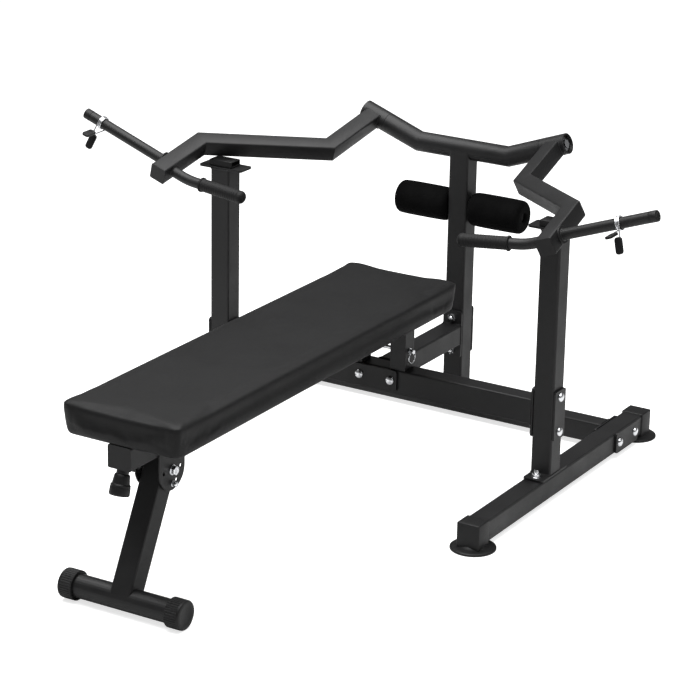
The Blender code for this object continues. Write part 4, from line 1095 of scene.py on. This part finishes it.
def make_stage(context):
    scene = context.scene
    made, nodes, links, shader = blank_material("pale_floor")
    mottle = object_noise(nodes, links, 3, 3)
    links.new(tint(nodes, links, mottle.outputs["Fac"], (0.70, 0.70, 0.70), (0.72, 0.72, 0.72)),
              shader.inputs["Base Color"])
    shader.inputs["Roughness"].default_value = 0.9
    shader.inputs["Specular IOR Level"].default_value = 0.0
    shader.inputs["Emission Color"].default_value = (1.0, 1.0, 1.0, 1)
    seen = nodes.new("ShaderNodeLightPath")
    glow = nodes.new("ShaderNodeMath")
    glow.operation = "MULTIPLY"
    glow.inputs[1].default_value = 0.72
    links.new(seen.outputs["Is Camera Ray"], glow.inputs[0])
    links.new(glow.outputs["Value"], shader.inputs["Emission Strength"])
    shape = bmesh.new()
    bmesh.ops.create_grid(shape, x_segments=2, y_segments=2, size=14)
    mesh = bpy.data.meshes.new("studio_floor")
    shape.to_mesh(mesh)
    shape.free()
    mesh.materials.append(made)
    floor = bpy.data.objects.new("studio_floor", mesh)
    floor.location = (0, 0, -0.0005)
    scene.collection.objects.link(floor)

    world = bpy.data.worlds.new("studio")
    world.use_nodes = True
    light_room(world)
    scene.world = world
    area_light("key_right", (3.6, 0.4, 2.6), (0.2, 0, 0.4), (1.8, 1.8), 20)
    area_light("top_soft", (-0.3, -0.2, 3.8), (0, 0, 0.3), (4.4, 4.4), 350)

    turn = radians(30.81)
    drop = radians(19.50)
    roll = radians(1.09)
    ahead = Vector((-sin(turn) * cos(drop), cos(turn) * cos(drop), -sin(drop)))
    right = ahead.cross(Vector((0, 0, 1))).normalized()
    rise = right.cross(ahead)
    side = cos(roll) * right + sin(roll) * rise
    place = Matrix((side, side.cross(ahead), -ahead)).transposed().to_4x4()
    place.translation = Vector((2.968, -4.857, 2.363))
    lens = bpy.data.cameras.new("studio_camera")
    lens.lens = 140.35
    lens.sensor_width = 36
    lens.clip_end = 60
    camera = bpy.data.objects.new("studio_camera", lens)
    camera.matrix_world = place
    scene.collection.objects.link(camera)
    scene.camera = camera
    scene.view_settings.view_transform = "Standard"


# ------------------------------------------------------------------ operators
class BENCH_OT_paint(Operator):
    """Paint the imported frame's solids"""
    bl_idname = "bench.paint"
    bl_label = "Frame finishes"

    def execute(self, context):
        paint_frame(context)
        return {"FINISHED"}


class BENCH_OT_pad(Operator):
    """Build the stuffed, sewn bench pad"""
    bl_idname = "bench.pad"
    bl_label = "Bench pad"

    def execute(self, context):
        make_bench_pad(context)
        return {"FINISHED"}


class BENCH_OT_rollers(Operator):
    """Build the two foam rollers on the mast"""
    bl_idname = "bench.rollers"
    bl_label = "Foam rollers"

    def execute(self, context):
        make_rollers(context)
        return {"FINISHED"}


class BENCH_OT_arms(Operator):
    """Build both zigzag lever arms with their sleeves and welds"""
    bl_idname = "bench.arms"
    bl_label = "Lever arms"

    def execute(self, context):
        make_arms(context)
        return {"FINISHED"}


class BENCH_OT_pegs(Operator):
    """Build the plate pegs and their end plugs"""
    bl_idname = "bench.pegs"
    bl_label = "Plate pegs"

    def execute(self, context):
        make_pegs()
        return {"FINISHED"}


class BENCH_OT_handles(Operator):
    """Build the bent handle bars and their rubber grips"""
    bl_idname = "bench.handles"
    bl_label = "Handles and grips"

    def execute(self, context):
        make_handles(context)
        return {"FINISHED"}


class BENCH_OT_clips(Operator):
    """Build the spring clips on the pegs"""
    bl_idname = "bench.clips"
    bl_label = "Spring clips"

    def execute(self, context):
        make_clips()
        return {"FINISHED"}


class BENCH_OT_bolts(Operator):
    """Build the joint bolts, nuts, pivot bolts and pins"""
    bl_idname = "bench.bolts"
    bl_label = "Bolts and pins"

    def execute(self, context):
        make_frame_bolts(context)
        make_pivot_hardware()
        make_leg_pins()
        return {"FINISHED"}


class BENCH_OT_caps(Operator):
    """Build the ribbed foot caps, rail shoes, bumpers and the plunger knob"""
    bl_idname = "bench.caps"
    bl_label = "Caps, bumpers and knob"

    def execute(self, context):
        make_foot_caps(context)
        make_rail_caps()
        make_bumpers()
        make_knob()
        return {"FINISHED"}


class BENCH_OT_yoke(Operator):
    """Build the bent yoke tube and the frame's weld beads"""
    bl_idname = "bench.yoke"
    bl_label = "Yoke and welds"

    def execute(self, context):
        make_yoke()
        make_welds()
        return {"FINISHED"}


class BENCH_OT_stage(Operator):
    """Set up the pale floor, the studio lights and the camera"""
    bl_idname = "bench.stage"
    bl_label = "Studio stage"

    def execute(self, context):
        make_stage(context)
        return {"FINISHED"}


class BENCH_PT_sidebar(Panel):
    """Lists the bench's pieces and their sizes"""
    bl_idname = "BENCH_PT_sidebar"
    bl_label = "Weight bench"
    bl_space_type = "VIEW_3D"
    bl_region_type = "UI"
    bl_category = "Weight bench"

    def draw(self, context):
        layout = self.layout
        for operator in OPERATORS:
            layout.operator(operator.bl_idname)
        scene = context.scene
        for sizes in (scene.bench_pad_sizes, scene.bench_finish, scene.bench_hardware):
            box = layout.box()
            for name in sizes.__annotations__:
                box.prop(sizes, name)


OPERATORS = (BENCH_OT_stage, BENCH_OT_paint, BENCH_OT_yoke, BENCH_OT_arms, BENCH_OT_pegs, BENCH_OT_handles,
             BENCH_OT_clips, BENCH_OT_bolts, BENCH_OT_caps, BENCH_OT_rollers, BENCH_OT_pad)
CLASSES = (BenchPadSizes, BenchFrameFinish, BenchHardware, *OPERATORS, BENCH_PT_sidebar)


def register():
    for item in CLASSES:
        bpy.utils.register_class(item)
    bpy.types.Scene.bench_pad_sizes = PointerProperty(type=BenchPadSizes)
    bpy.types.Scene.bench_finish = PointerProperty(type=BenchFrameFinish)
    bpy.types.Scene.bench_hardware = PointerProperty(type=BenchHardware)


def unregister():
    del bpy.types.Scene.bench_hardware
    del bpy.types.Scene.bench_finish
    del bpy.types.Scene.bench_pad_sizes
    for item in reversed(CLASSES):
        bpy.utils.unregister_class(item)


def main():
    register()
    bpy.ops.bench.stage()
    bpy.ops.bench.paint()
    bpy.ops.bench.yoke()
    bpy.ops.bench.arms()
    bpy.ops.bench.pegs()
    bpy.ops.bench.handles()
    bpy.ops.bench.clips()
    bpy.ops.bench.bolts()
    bpy.ops.bench.caps()
    bpy.ops.bench.rollers()
    bpy.ops.bench.pad()


if __name__ == "__main__":
    main()
